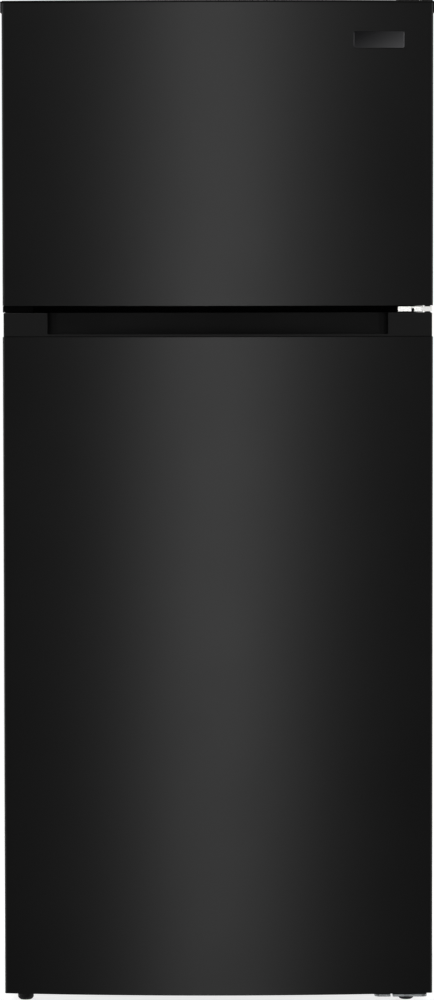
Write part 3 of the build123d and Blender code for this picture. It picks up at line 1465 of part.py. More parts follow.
with BuildPart() as bottom_hinge:
    with BuildSketch(Plane.YZ.offset((bottom_hinge_left + bottom_hinge_right) / 2)):
        add(
            strip(
                (
                    (leaf_front, BOTTOM_LEAF_TOP),
                    (riser_y, BOTTOM_LEAF_TOP),
                    (riser_y, CABINET_BOTTOM),
                    (bottom_hinge_back, CABINET_BOTTOM),
                ),
                LEAF,
                Side.RIGHT,
            )
        )
    extrude(amount=(bottom_hinge_right - bottom_hinge_left) / 2, both=True)
    fillet(bottom_hinge.edges().filter_by(Axis.Z).group_by(Axis.Y)[0], COLLAR_RADIUS)
    notch_x = HINGE_X - BOTTOM_NOTCH_OFFSET
    slab(
        (notch_x - BOTTOM_NOTCH / 2, notch_x + BOTTOM_NOTCH / 2),
        (leaf_front, riser_y),
        (bottom_leaf_bottom, BOTTOM_LEAF_TOP),
        Mode.SUBTRACT,
    )
    prism(COLLAR_RADIUS, COLLAR_SIDES, HINGE_X, HINGE_Y, BOTTOM_LEAF_TOP, DOOR_BOTTOM - REST)
    upright(PIN_RADIUS, HINGE_X, HINGE_Y, BOTTOM_LEAF_TOP, DOOR_BOTTOM + PIN_REACH)
    nut_bottom = CABINET_BOTTOM - NUT_HEIGHT
    prism(NUT_RADIUS, SCREW_SIDES, RIGHT_FOOT_X, FOOT_Y, nut_bottom, CABINET_BOTTOM)
    upright(FOOT_STUD + PIN_PLAY, RIGHT_FOOT_X, FOOT_Y, nut_bottom, CABINET_BOTTOM, Mode.SUBTRACT)
    with BuildSketch(Plane.XY.offset(CABINET_BOTTOM)):
        with Locations(*bottom_screws):
            RegularPolygon(SCREW_RADIUS + FIT, SCREW_SIDES)
    extrude(amount=-LEAF, mode=Mode.SUBTRACT)
write(bottom_hinge, "bottom_hinge")

# Hinge screws: a hexagonal head and a short shank each
with BuildPart() as hinge_screws:
    screw_groups = (
        (Plane.XY.offset(CABINET_TOP), top_screws),
        (facing(CABINET_FRONT), [(x, GAP_MIDDLE) for x in flange_screws]),
        (Plane.XY.offset(CABINET_BOTTOM).rotated((180, 0, 0)), [(x, -y) for x, y in bottom_screws]),
    )
    for seat, spots in screw_groups:
        for spot in spots:
            with BuildSketch(seat):
                with Locations(spot):
                    RegularPolygon(SCREW_RADIUS, SCREW_SIDES)
            extrude(amount=LEAF)
            with BuildSketch(seat.offset(LEAF)):
                with Locations(spot):
                    RegularPolygon(SCREW_HEAD, SCREW_SIDES)
            extrude(amount=SCREW_HEAD_HEIGHT)
write(hinge_screws, "hinge_screws")


def levelling_foot(x):
    """Screwed foot: a stud in its nut, a round grip and a small pad on the floor."""
    with BuildPart() as foot:
        with BuildSketch():
            with Locations((x, FOOT_Y)):
                RegularPolygon(FOOT_RADIUS, FOOT_SIDES)
        extrude(amount=FOOT_HEIGHT)
        chamfer(foot.faces().sort_by(Axis.Z)[0].edges(), FOOT_EDGE)
        upright(FOOT_STUD, x, FOOT_Y, FOOT_HEIGHT, CABINET_BOTTOM - REST)
    return foot


left_foot = levelling_foot(LEFT_FOOT_X)
write(left_foot, "left_foot")
right_foot = levelling_foot(RIGHT_FOOT_X)
write(right_foot, "right_foot")
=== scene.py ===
import json
import math

import bmesh
import bpy
from bpy.props import FloatProperty, FloatVectorProperty, IntProperty, PointerProperty
from mathutils import Matrix, Vector


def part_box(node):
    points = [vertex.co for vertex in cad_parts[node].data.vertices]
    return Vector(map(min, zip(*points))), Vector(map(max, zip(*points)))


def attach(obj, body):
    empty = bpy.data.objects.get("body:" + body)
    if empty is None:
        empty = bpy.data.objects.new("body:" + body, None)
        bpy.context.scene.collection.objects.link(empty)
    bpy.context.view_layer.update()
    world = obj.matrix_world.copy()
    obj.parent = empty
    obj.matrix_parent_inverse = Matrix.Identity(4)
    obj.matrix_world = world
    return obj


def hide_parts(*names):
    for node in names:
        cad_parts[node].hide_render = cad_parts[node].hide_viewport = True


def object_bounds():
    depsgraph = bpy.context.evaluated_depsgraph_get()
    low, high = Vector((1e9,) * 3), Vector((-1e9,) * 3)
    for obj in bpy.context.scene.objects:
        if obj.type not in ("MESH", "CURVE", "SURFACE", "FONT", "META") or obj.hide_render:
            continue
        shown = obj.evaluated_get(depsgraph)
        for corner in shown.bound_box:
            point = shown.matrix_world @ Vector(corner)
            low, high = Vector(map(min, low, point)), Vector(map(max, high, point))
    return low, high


bl_info = {
    "name": "Top freezer refrigerator",
    "version": (1, 0, 0),
    "blender": (4, 5, 0),
    "location": "View3D > Sidebar > Refrigerator",
    "description": "Dresses the CAD frame of a black refrigerator with a freezer on top",
    "category": "Object",
}

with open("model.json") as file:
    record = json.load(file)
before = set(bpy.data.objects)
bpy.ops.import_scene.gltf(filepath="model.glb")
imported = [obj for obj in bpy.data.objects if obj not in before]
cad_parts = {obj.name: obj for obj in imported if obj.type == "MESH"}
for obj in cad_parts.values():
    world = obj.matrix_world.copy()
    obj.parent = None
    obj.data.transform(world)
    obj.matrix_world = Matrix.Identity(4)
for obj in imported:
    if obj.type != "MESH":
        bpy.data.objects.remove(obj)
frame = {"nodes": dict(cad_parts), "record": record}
cad_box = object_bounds()

NODE_BODY = {node: body for body, nodes in frame["record"]["behaviour"]["bodies"].items() for node in nodes}
MM = 0.001
X, Y, Z = range(3)
QUARTER_TURN = math.pi / 2
# Sheet modelled here stays this far inside the frame's box
SPARE = 0.00002
# Corners nearer than the first are merged, and places nearer than the second are level
MERGE, LEVEL = 0.00001, 0.0001
# Share of a normal along an axis above which a face looks that way, and below which it stands across it
FACING, ACROSS = 0.9, 0.1
# Sockets of a Mix node for colours
FACTOR, FIRST, SECOND, MIXED = 0, 6, 7, 2


def linear(code):
    """Linear colour of an sRGB hex value."""
    channels = [int(code[start : start + 2], 16) / 255 for start in (0, 2, 4)]
    return tuple(c / 12.92 if c <= 0.04045 else ((c + 0.055) / 1.055) ** 2.4 for c in channels)


def colour(name, code, description):
    """Colour that a user may change."""
    return FloatVectorProperty(
        name=name, description=description, subtype="COLOR", size=3, min=0, max=1, default=linear(code)
    )


def length(name, size, description):
    """Length in millimetres, kept in metres, that a user may change."""
    return FloatProperty(name=name, description=description, subtype="DISTANCE", unit="LENGTH", default=size * MM)


class RefrigeratorColours(bpy.types.PropertyGroup):
    """Colours of the finishes."""

    door_paint: colour("Door paint", "060606", "Satin coating on the doors")
    cabinet_paint: colour("Cabinet paint", "1c1c1d", "Textured coating on the sides and top")
    # Real primer on the rail, and also painted shade in the seams above the door skins and in the handle's trough
    rail_primer_and_painted_shade: colour("Rail paint", "070707", "Primer on the rail between the doors")
    black_moulding: colour("Black mouldings", "0d0d0d", "End caps, hinge cover, fan, pan, gland and dial marks")
    nylon: colour("Black nylon", "0d0d0d", "Feet and rollers")
    plate_gloss_and_painted_reflection: colour("Plate face", "141415", "Gloss face of the bare plate, at its upper left end")
    # The pale end is painted reflection on the plate's gloss face
    plate_painted_reflection: colour("Plate's pale end", "464647", "Gloss face of the bare plate, at its lower right end")
    # The edge's paler tone is a painted highlight along the rim
    plate_rim_painted_highlight: colour("Plate edge", "48484a", "Polished edge of the bare plate")
    liner: colour("Liner", "eef0ee", "Formed liners of the compartments and doors")
    white_moulding: colour("White mouldings", "f2f2ef", "Shelf frames, housing, duct, knob and evaporator cover")
    clear_moulding: colour("Clear mouldings", "f8fbfc", "Bins and drawers")
    glass: colour("Glass", "e4f2ec", "Shelf panes")
    lens: colour("Lens", "f8fbfc", "Lamp lens")
    zinc: colour("Zinc plating", "f2f2ef", "Upper hinges, screws and axles")
    galvanised: colour("Galvanised sheet", "b4b8ba", "Back, base and bay sheets, lower hinge and fan motor")
    gasket: colour("Gasket", "303031", "Flexible door seals")
    rubber: colour("Rubber", "1d1d1d", "Compressor mounts")
    enamel: colour("Enamel", "0d0d0e", "Compressor shell")
    copper: colour("Copper", "c98a66", "Refrigerant and condenser tubes")
    aluminium: colour("Aluminium", "d4d6d8", "Evaporator and heater")
    foam: colour("Foam", "dcc78e", "Insulation")
    floor: colour("Floor", "d2d2d2", "Pale studio floor")


class RefrigeratorSizes(bpy.types.PropertyGroup):
    """Sizes of the pieces that are modelled here."""

    crown: length("Door crown", 28, "How far the middle of a door stands out past its sides")
    skin: length("Skin thickness", 0.8, "Sheet of the door skins")
    skin_radius: length("Skin corner", 5, "Radius of the skin's vertical corners")
    skin_return: length("Skin return", 14, "Fold at the back of a door skin")
    crown_steps: IntProperty(name="Crown steps", description="Facets across a door", default=72, min=8)
    cap_edge: length("Cap edge", 0.7, "Eased edges of the black mouldings")
    sheet_edge: length("Sheet edge", 0.5, "Eased edges of pressed sheet")
    liner_edge: length("Liner edge", 1.2, "Eased edges of the formed liners, shelf frames and housing")
    dike_edge: length("Dike edge", 7, "Rounded edge of the door liners' raised rims")
    bin_corner: length("Bin corner", 14, "Rounded front corners of the door bins")
    bin_foot: length("Bin foot", 4, "Rounded lower edges of the door bins")
    bin_wall: length("Bin wall", 2.5, "Walls of the door bins")
    clear_edge: length("Clear moulding edge", 0.7, "Eased edges of bins and drawers")
    glass_edge: length("Glass edge", 0.8, "Polished edges of the panes")
    plate_rim: length("Plate rim", 1.1, "Polished rim round the bare plate")
    flange: length("Hinge flange", 10, "Depth in front of the rail in which the middle hinge is painted")
    plug_width: length("Plug width", 53, "Cap over the unused hinge holes, across")
    plug_depth: length("Plug depth", 54, "Cap over the unused hinge holes, front to back")
    plug_corner: length("Plug corner", 2, "Rounded front corners of that cap")
    plug_play: length("Plug play", 0.8, "Room between that cap and each door")
    gland_flange: length("Gland flange", 4, "Width and thickness of the gland's flange")
    gland_bore: length("Gland bore", 4.2, "Radius of the hole for the power lead")
    foot_edge: length("Foot edge", 6.5, "Rounded lower edge of a foot")
    roller_edge: length("Roller edge", 1, "Rounded edges of a roller")
    roller_recess: length("Roller recess", 3, "Depth of the hollow in a roller's side")
    mark_length: length("Dial mark", 1.6, "Length of the marks round the temperature knob")


def colours():
    """Colour settings of the scene."""
    return bpy.context.scene.refrigerator_colours


def sizes():
    """Size settings of the scene."""
    return bpy.context.scene.refrigerator_sizes


# Finishes


def adjust(thing, **settings):
    """Set several properties at once."""
    for key, value in settings.items():
        setattr(thing, key, value)


def connect(node, sockets):
    """Give a node's sockets values, or link them to other nodes or outputs."""
    for socket, source in sockets.items():
        if isinstance(source, bpy.types.Node):
            source = source.outputs[0]
        if isinstance(source, bpy.types.NodeSocket):
            node.id_data.links.new(source, node.inputs[socket])
        else:
            node.inputs[socket].default_value = source


def add_node(tree, kind, sockets=None, **settings):
    """Add a shader node, with its settings and its sockets' values and links."""
    node = tree.nodes.new(f"ShaderNode{kind}")
    adjust(node, **settings)
    connect(node, sockets or {})
    return node


def shade(tone, share):
    """A colour made darker or lighter by a share, with alpha for a socket."""
    return (*(min(1.0, channel * share) for channel in tone), 1.0)


def opaque(tree, place, tone, patches, roughness, grain, further=None):
    """Soft patches of two close tones, roughness that follows them and a fine raised grain.

    patches is a size and the darker tone's share of the lighter one, roughness is its lowest and highest value,
    grain is a size and a height, and further holds other sockets. Sizes are in millimetres.
    """
    size, contrast = patches
    detail = {"Detail": 4.0, "Roughness": 0.6}
    clouds = add_node(tree, "TexNoise", {"Scale": 1 / (size * MM), "Vector": place, **detail})
    ends = {FIRST: shade(tone, contrast), SECOND: shade(tone, 1.0)}
    tones = add_node(tree, "Mix", {FACTOR: clouds, **ends}, data_type="RGBA")
    # Nearly all of the noise lies between these values
    spread = {"From Min": 0.3, "From Max": 0.7}
    gloss = add_node(tree, "MapRange", {"Value": clouds, "To Min": roughness[0], "To Max": roughness[1], **spread})
    size, height = grain
    pebbles = add_node(tree, "TexNoise", {"Scale": 1 / (size * MM), "Vector": place, "Detail": 2.0})
    bump = add_node(tree, "Bump", {"Distance": height * MM, "Height": pebbles})
    return {"Base Color": tones.outputs[MIXED], "Roughness": gloss, "Normal": bump, **(further or {})}


def clear(tree, place, tone, index, roughness, ripple):
    """Clear throughout, with a faint ripple, whose size and height are in millimetres."""
    size, height = ripple
    waves = add_node(tree, "TexNoise", {"Scale": 1 / (size * MM), "Vector": place, "Detail": 1.0})
    ends = {FIRST: shade(tone, 0.97), SECOND: shade(tone, 1.0)}
    tones = add_node(tree, "Mix", {FACTOR: waves, **ends}, data_type="RGBA")
    bump = add_node(tree, "Bump", {"Distance": height * MM, "Height": waves})
    # Lamps shine through thin walls, so what lies behind them isn't left dark
    path = add_node(tree, "LightPath")
    solid = add_node(tree, "MapRange", {"Value": path.outputs["Is Shadow Ray"], "To Min": 1.0, "To Max": 0.15})
    look = {"Base Color": tones.outputs[MIXED], "Normal": bump, "Alpha": solid}
    return {**look, "Roughness": roughness, "IOR": index, "Transmission Weight": 1.0}


def painted_reflection_fade(tree, place, tone, roughness):
    """Painted reflection: tone that fades into the pale one across the plate and, less, down it."""
    low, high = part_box("name_plate")
    axes = add_node(tree, "SeparateXYZ", {0: place})
    run = {"Value": axes.outputs["X"], "From Min": low.x, "From Max": high.x}
    across = add_node(tree, "MapRange", {**run, "To Max": 0.6})
    run = {"Value": axes.outputs["Z"], "From Min": high.z, "From Max": low.z}
    down = add_node(tree, "MapRange", {**run, "To Max": 0.4})
    fade = add_node(tree, "Math", {0: across, 1: down}, operation="ADD")
    late = add_node(tree, "Math", {0: fade, 1: 1.7}, operation="POWER")
    ends = {FIRST: shade(tone, 1.0), SECOND: shade(colours().plate_painted_reflection, 1.0)}
    tones = add_node(tree, "Mix", {FACTOR: late, **ends}, data_type="RGBA")
    return {"Base Color": tones.outputs[MIXED], "Roughness": roughness}


def crystalline(tree, place, tone, size):
    """Metal crystals of a size in millimetres, each with its own tone and gloss."""
    crystals = add_node(tree, "TexVoronoi", {"Scale": 1 / (size * MM), "Vector": place})
    facet = add_node(tree, "SeparateColor", {"Color": crystals.outputs["Color"]})
    ends = {FIRST: shade(tone, 0.78), SECOND: shade(tone, 1.08)}
    tones = add_node(tree, "Mix", {FACTOR: facet.outputs["Red"], **ends}, data_type="RGBA")
    gloss = add_node(tree, "MapRange", {"Value": facet.outputs["Green"], "To Min": 0.34, "To Max": 0.5})
    return {"Base Color": tones.outputs[MIXED], "Roughness": gloss, "Metallic": 0.9}


# For each colour, the material's name, the function that makes it and what that is given
FINISHES = {
    # Baked powder coat on smooth sheet: satin, so lamps spread into one wide, soft band across the crown.
    # The real orange peel is finer than a pixel, so it is drawn at 6 mm.
    "door_paint": ("satin powder-coated steel", opaque, (250, 0.94), (0.3, 0.32), (6, 0.003)),
    # Coat with a pressed pebble pattern, about 3 mm across: breaks up reflections on the sides.
    "cabinet_paint": ("pebbled painted steel", opaque, (200, 0.95), (0.44, 0.47), (3, 0.05)),
    # Dipped primer on the rail between the doors: porous and dead matt, so the gap stays black.
    # The same finish is painted shade on the caps' spigots in the seams and in the handle's trough
    "rail_primer_and_painted_shade": ("dipped black primer", opaque, (50, 0.8), (0.75, 0.85), (2, 0.01), {"Specular IOR Level": 0.1}),
    # Injection-moulded ABS with a spark-eroded grain: much duller than the doors, so the pocket stays dark.
    # The real grain is about 0.2 mm, so it is drawn at 1.2 mm, and the pits between the grains trap some light.
    "black_moulding": (
        *("moulded black ABS", opaque, (120, 0.92), (0.5, 0.56), (1.2, 0.008)),
        {"Specular IOR Level": 0.22},
    ),
    # Moulded nylon of feet and rollers, scuffed by the floor in patches about 10 mm wide.
    "nylon": ("moulded black nylon", opaque, (10, 0.7), (0.42, 0.6), (1.5, 0.03)),
    # Polished acrylic with a painted reflection: dark at the upper left, and paler at the lower right where a sheen
    # is painted in, under gloss.
    "plate_gloss_and_painted_reflection": ("polished acrylic over a printed fade", painted_reflection_fade, 0.14),
    # Cut and polished edge of the same acrylic, which catches light; its paler tone is a painted highlight.
    "plate_rim_painted_highlight": ("polished acrylic edge", opaque, (20, 0.7), (0.18, 0.25), (3, 0.004)),
    # Vacuum-formed high-impact polystyrene: clean white with a soft gloss and faint forming waves.
    "liner": ("vacuum-formed white polystyrene", opaque, (300, 0.985), (0.28, 0.3), (20, 0.005)),
    # Injection-moulded ABS: white, finely grained, duller than the liner.
    "white_moulding": ("moulded white ABS", opaque, (100, 0.96), (0.36, 0.42), (1.2, 0.01)),
    # Injection-moulded clear polystyrene: bright edges and faint flow lines.
    "clear_moulding": ("moulded clear polystyrene", clear, 1.58, 0.05, (50, 0.02)),
    # Toughened float glass: flat and clear, with a green cast.
    "glass": ("toughened float glass", clear, 1.52, 0.01, (300, 0.004)),
    # Prismatic acrylic lens: small prisms, about 3 mm, hide the lamp.
    "lens": ("prismatic acrylic", clear, 1.49, 0.25, (3, 0.4)),
    # Bright zinc under a thin whitish passivate film: nearly white, slightly cloudy metal that mirrors the lamps.
    "zinc": ("zinc-plated pressed steel", opaque, (12, 0.9), (0.19, 0.25), (2, 0.004), {"Metallic": 0.85}),
    # Hot-dip galvanised sheet: zinc crystals about 11 mm wide, so it glints in facets.
    "galvanised": ("hot-dip galvanised sheet", crystalline, 11),
    # Extruded plasticised vinyl: charcoal, smooth and a little waxy.
    "gasket": ("extruded flexible vinyl", opaque, (80, 0.9), (0.42, 0.5), (1.5, 0.01)),
    # Moulded nitrile rubber: black and matt, with bloom in patches.
    "rubber": ("moulded nitrile rubber", opaque, (10, 0.7), (0.6, 0.75), (1, 0.02)),
    # Dipped and stoved enamel over drawn steel: gloss black with a slight orange peel.
    "enamel": ("stoved black enamel", opaque, (60, 0.85), (0.16, 0.22), (5, 0.02)),
    # Drawn copper tube, tarnished in patches by handling and brazing.
    "copper": ("drawn copper tube", opaque, (30, 0.6), (0.24, 0.42), (2, 0.01), {"Metallic": 1.0}),
    # Mill-finish aluminium: pale metal with a soft grain.
    "aluminium": ("mill-finish aluminium", opaque, (20, 0.88), (0.3, 0.4), (1.5, 0.01), {"Metallic": 1.0}),
    # Foamed-in-place polyurethane: straw-coloured, matt, with broken cells about 2 mm wide.
    "foam": ("foamed polyurethane", opaque, (20, 0.82), (0.85, 0.95), (2, 0.6)),
}


def finish(look):
    """The material of a finish, made at its first use."""
    name, make, *values = FINISHES[look]
    material = bpy.data.materials.get(name)
    if not material:
        material = bpy.data.materials.new(name)
        material.use_nodes = True
        tree = material.node_tree
        place = add_node(tree, "TexCoord").outputs["Object"]
        connect(tree.nodes["Principled BSDF"], make(tree, place, getattr(colours(), look), *values))
    return material


# Modelling


def close_piece():
    """Leave edit mode."""
    bpy.ops.object.mode_set(mode="OBJECT")


def put_down():
    """Leave edit mode and deselect everything."""
    if bpy.context.object and bpy.context.object.mode != "OBJECT":
        close_piece()
    bpy.ops.object.select_all(action="DESELECT")


def take(piece):
    """Make a piece the only selected and the active object."""
    put_down()
    piece.select_set(True)
    bpy.context.view_layer.objects.active = piece


def open_piece(piece):
    """Take a piece into edit mode."""
    take(piece)
    bpy.ops.object.mode_set(mode="EDIT")


def choose(kind, test):
    """In edit mode, select exactly the vertices, edges or faces that pass a test."""
    bpy.ops.mesh.select_mode(type=kind)
    bpy.ops.mesh.select_all(action="DESELECT")
    mesh = bmesh.from_edit_mesh(bpy.context.edit_object.data)
    elements = {"VERT": mesh.verts, "EDGE": mesh.edges, "FACE": mesh.faces}[kind]
    chosen = [element for element in elements if test(element)]
    if not chosen:
        raise RuntimeError(f"{bpy.context.edit_object.name} has nothing to select there")
    for element in chosen:
        element.select_set(True)
    bmesh.update_edit_mesh(bpy.context.edit_object.data)


def middle(element):
    """Middle of an edge or a face."""
    points = [vert.co for vert in element.verts]
    return sum(points, Vector()) / len(points)


def looking(axis, way):
    """Test for faces that look up an axis, or down it where way is -1."""
    return lambda face: face.normal[axis] * way > FACING


def upright(edge):
    """Whether an edge runs up and down."""
    return abs((edge.verts[1].co - edge.verts[0].co).normalized().z) > 0.99


def draw_out(move=(0, 0, 0), edges=False):
    """Extrude the selected faces, or edges, and move what is new."""
    extrude = bpy.ops.mesh.extrude_edges_move if edges else bpy.ops.mesh.extrude_region_move
    extrude(TRANSFORM_OT_translate={"value": move})


def started(name):
    """The primitive just added, named, with its place, turn and scale in its mesh."""
    piece = bpy.context.object
    piece.name = name
    piece.data.name = name
    bpy.ops.object.transform_apply()
    return piece


def block(name, centre, size):
    """Start a piece from a block."""
    put_down()
    bpy.ops.mesh.primitive_cube_add(size=1, location=centre, scale=size)
    return started(name)


def cylinder(name, sides, radius, tall, centre, turn=(0, 0, 0)):
    """Start a piece from a cylinder."""
    put_down()
    bpy.ops.mesh.primitive_cylinder_add(vertices=sides, radius=radius, depth=tall, location=centre, rotation=turn)
    return started(name)


def modify(piece, name, kind, **settings):
    """Add a modifier to a piece and apply it."""
    take(piece)
    modifier = piece.modifiers.new(name, kind)
    adjust(modifier, **settings)
    bpy.ops.object.modifier_apply(modifier=modifier.name)


def smooth(piece, degrees=40):
    """Smooth shading across soft angles only, with flat faces kept flat beside their rounded edges."""
    take(piece)
    bpy.ops.object.shade_smooth_by_angle(angle=math.radians(degrees))
    modify(piece, "flats first", "WEIGHTED_NORMAL", keep_sharp=True)


def ease(piece, edge, steps=2, degrees=35):
    """Round every sharp edge of a piece, then shade it."""
    sharp = {"limit_method": "ANGLE", "angle_limit": math.radians(degrees)}
    modify(piece, "eased edges", "BEVEL", width=edge, segments=steps, **sharp)
    smooth(piece)


def thicken(piece, wall):
    """Give a sheet its thickness, inwards."""
    modify(piece, "wall", "SOLIDIFY", thickness=wall, offset=-1, use_even_offset=True)


def copied(node, name):
    """A copy of a CAD node with its corners merged and its flats cleared of triangles."""
    put_down()
    piece = bpy.data.objects.new(name, frame["nodes"][node].data.copy())
    piece.data.name = name
    bpy.context.scene.collection.objects.link(piece)
    open_piece(piece)
    bpy.ops.mesh.select_all(action="SELECT")
    bpy.ops.mesh.remove_doubles(threshold=MERGE)
    bpy.ops.mesh.dissolve_limited(angle_limit=math.radians(0.4))
    bpy.ops.mesh.customdata_custom_splitnormals_clear()
    close_piece()
    return piece


def solids(node):
    """Lowest and highest corner of each separate solid of a CAD node."""
    mesh = bmesh.new()
    mesh.from_mesh(frame["nodes"][node].data)
    bmesh.ops.remove_doubles(mesh, verts=mesh.verts, dist=MERGE)
    boxes = []
    left = set(mesh.verts)
    while left:
        front = [left.pop()]
        points = []
        while front:
            vert = front.pop()
            points.append(vert.co.copy())
            beside = {edge.other_vert(vert) for edge in vert.link_edges} & left
            left -= beside
            front += beside
        boxes.append([Vector(pick(point[axis] for point in points) for axis in (X, Y, Z)) for pick in (min, max)])
    mesh.free()
    return sorted(boxes, key=lambda box: tuple(box[0]))


def coat(mesh, look):
    """Make a finish the only one of a mesh."""
    mesh.materials.clear()
    mesh.materials.append(finish(look))


def dress(look, *nodes):
    """Give CAD nodes that stay as they are their finish."""
    for node in nodes:
        coat(frame["nodes"][node].data, look)


def fasten(piece, look, carrier):
    """Give a piece its finish and the body of a CAD node."""
    coat(piece.data, look)
    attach(piece, NODE_BODY[carrier])


def settle(piece, look, node):
    """Fasten a piece in the place of a CAD node."""
    fasten(piece, look, node)
    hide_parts(node)


def eased_copy(node, made, look, edge, steps=2):
    """A CAD node's shape with rounded edges, in its place, named for how it is made."""
    piece = copied(node, f"{node}_{made}")
    ease(piece, edge, steps)
    settle(piece, look, node)
    return piece


def paint_part(piece, look, test):
    """Give the faces of a piece that pass a test a second finish."""
    piece.data.materials.append(finish(look))
    open_piece(piece)
    choose("FACE", test)
    bpy.context.object.active_material_index = len(piece.data.materials) - 1
    bpy.ops.object.material_slot_assign()
    put_down()


def joined(name, pieces):
    """Several modelled pieces as one object."""
    take(pieces[0])
    for piece in pieces:
        piece.select_set(True)
    bpy.ops.object.join()
    pieces[0].name = name
    return pieces[0]


def joined_copies(pattern, name, moves):
    """Copies of a modelled piece, moved by matrices, as one object in its place."""
    put_down()
    copies = []
    for number, move in enumerate(moves):
        copy = bpy.data.objects.new(f"{name}_{number}", pattern.data.copy())
        bpy.context.scene.collection.objects.link(copy)
        copy.data.transform(move)
        copies.append(copy)
    bpy.data.objects.remove(pattern)
    return joined(name, copies)


# Pieces


def door_skin(node, name):
    """Skin folded from one sheet: return, side, rounded corner, crowned front, and back again."""
    low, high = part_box(node)
    size = sizes()
    half = high.x
    # The crown's arc, and the corners' arcs that run into it
    radius = (half**2 + size.crown**2) / (2 * size.crown)
    crown_y = low.y + SPARE + radius
    corner_x = half - size.skin_radius
    turn = math.asin(corner_x / (radius - size.skin_radius))
    corner_y = crown_y - (radius - size.skin_radius) * math.cos(turn)
    corner, corner_steps = QUARTER_TURN - turn, 8
    # One upright edge of a plane is left, and drawn round the door
    tall = high.z - low.z
    mid_z = (low.z + high.z) / 2
    start_x = size.skin_return - half
    place = (start_x + tall / 2, high.y, mid_z)
    put_down()
    bpy.ops.mesh.primitive_plane_add(size=tall, location=place, rotation=(QUARTER_TURN, 0, 0))
    piece = started(name)
    open_piece(piece)
    choose("VERT", lambda vert: vert.co.x > start_x + tall / 2)
    bpy.ops.mesh.delete(type="VERT")
    choose("EDGE", lambda edge: True)
    draw_out((-size.skin_return, 0, 0), edges=True)
    draw_out((0, corner_y - high.y, 0), edges=True)
    for centre, angle, steps in (
        ((-corner_x, corner_y, mid_z), corner, corner_steps),
        ((0, crown_y, mid_z), 2 * turn, size.crown_steps),
        ((corner_x, corner_y, mid_z), corner, corner_steps),
    ):
        bpy.ops.mesh.spin(steps=steps, angle=angle, center=centre, axis=(0, 0, -1))
    draw_out((0, high.y - corner_y, 0), edges=True)
    draw_out((-size.skin_return, 0, 0), edges=True)
    bpy.ops.mesh.select_all(action="SELECT")
    bpy.ops.mesh.remove_doubles(threshold=MERGE)
    front = min(bmesh.from_edit_mesh(piece.data).faces, key=lambda face: middle(face).y)
    if front.normal.y > 0:
        bpy.ops.mesh.flip_normals()
    close_piece()
    thicken(piece, size.skin)
    smooth(piece, 30)
    settle(piece, "door_paint", node)


def door_seal(node):
    """Seal drawn from a door's outline through the steps of its section, and closed."""
    # Millimetres in from the outer side, and shares of the seal's depth from the liner to the cabinet
    outer = (1.5, 0.0), (0.6, 0.12), (3.6, 0.26), (4.0, 0.34), (0.3, 0.5), (0.0, 0.6), (0.0, 0.9), (1.0, 1.0)
    inner = (15.0, 1.0), (16.0, 0.9), (16.0, 0.64), (13.2, 0.5), (12.6, 0.4), (15.6, 0.22), (15.0, 0.0)
    low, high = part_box(node)
    centre = (low + high) / 2
    half_x, _, half_z = (high - low) / 2
    put_down()
    bpy.ops.mesh.primitive_plane_add(size=2, location=centre, rotation=(QUARTER_TURN, 0, 0))
    bpy.context.object.scale = (half_x, half_z, 1)
    seal = started(f"{node}_extruded")
    open_piece(seal)
    bpy.ops.mesh.select_all(action="SELECT")
    bpy.ops.mesh.delete(type="ONLY_FACE")
    choose("EDGE", lambda edge: True)
    now_x, now_y, now_z = half_x, centre.y, half_z
    for step, (inward, share) in enumerate(outer + inner):
        if step:
            draw_out(edges=True)
        next_x, next_z = half_x - inward * MM, half_z - inward * MM
        next_y = low.y + share * (high.y - low.y)
        bpy.ops.transform.translate(value=(0, next_y - now_y, 0))
        bpy.ops.transform.resize(value=(next_x / now_x, 1, next_z / now_z), center_override=centre)
        now_x, now_y, now_z = next_x, next_y, next_z
    choose("EDGE", lambda edge: edge.is_boundary)
    bpy.ops.mesh.bridge_edge_loops()
    bpy.ops.mesh.select_all(action="SELECT")
    bpy.ops.mesh.normals_make_consistent(inside=False)
    close_piece()
    ease(seal, edge=0.4 * MM, degrees=25)
    settle(seal, "gasket", node)


def door_tray(low, high):
    """Open tray between two corners, rounded at the front and below."""
    centre = (low + high) / 2
    tray = block("door_tray", centre, high - low)
    open_piece(tray)
    choose("FACE", looking(Z, 1))
    bpy.ops.mesh.delete(type="FACE")
    choose("EDGE", lambda edge: upright(edge) and middle(edge).y > centre.y)
    bpy.ops.mesh.bevel(offset=sizes().bin_corner, segments=6)
    choose("EDGE", lambda edge: middle(edge).z < low.z + SPARE)
    bpy.ops.mesh.bevel(offset=sizes().bin_foot, segments=3)
    close_piece()
    thicken(tray, sizes().bin_wall)
    ease(tray, sizes().clear_edge)
    return tray


def hinge_plug():
    """Cap over the hinge holes at the gap's left end, for doors hung the other way round."""
    rim, dish = 2 * MM, 0.8 * MM
    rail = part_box("mullion_rail")[0]
    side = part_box("fridge_door_skin")[0]
    low_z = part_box("fridge_door_handle_cap")[1].z + sizes().plug_play
    high_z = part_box("freezer_door_bottom_cap")[0].z - sizes().plug_play
    size = Vector((sizes().plug_width, sizes().plug_depth, high_z - low_z))
    centre = Vector((side.x + size.x / 2, rail.y - size.y / 2, (low_z + high_z) / 2))
    plug = block("left_hinge_plug", centre, size)
    open_piece(plug)
    choose("EDGE", lambda edge: upright(edge) and middle(edge).y < centre.y)
    bpy.ops.mesh.bevel(offset=sizes().plug_corner, segments=6)
    choose("FACE", looking(Y, -1))
    bpy.ops.mesh.inset(thickness=rim, depth=-dish)
    close_piece()
    ease(plug, sizes().cap_edge)
    fasten(plug, "rail_primer_and_painted_shade", "mullion_rail")


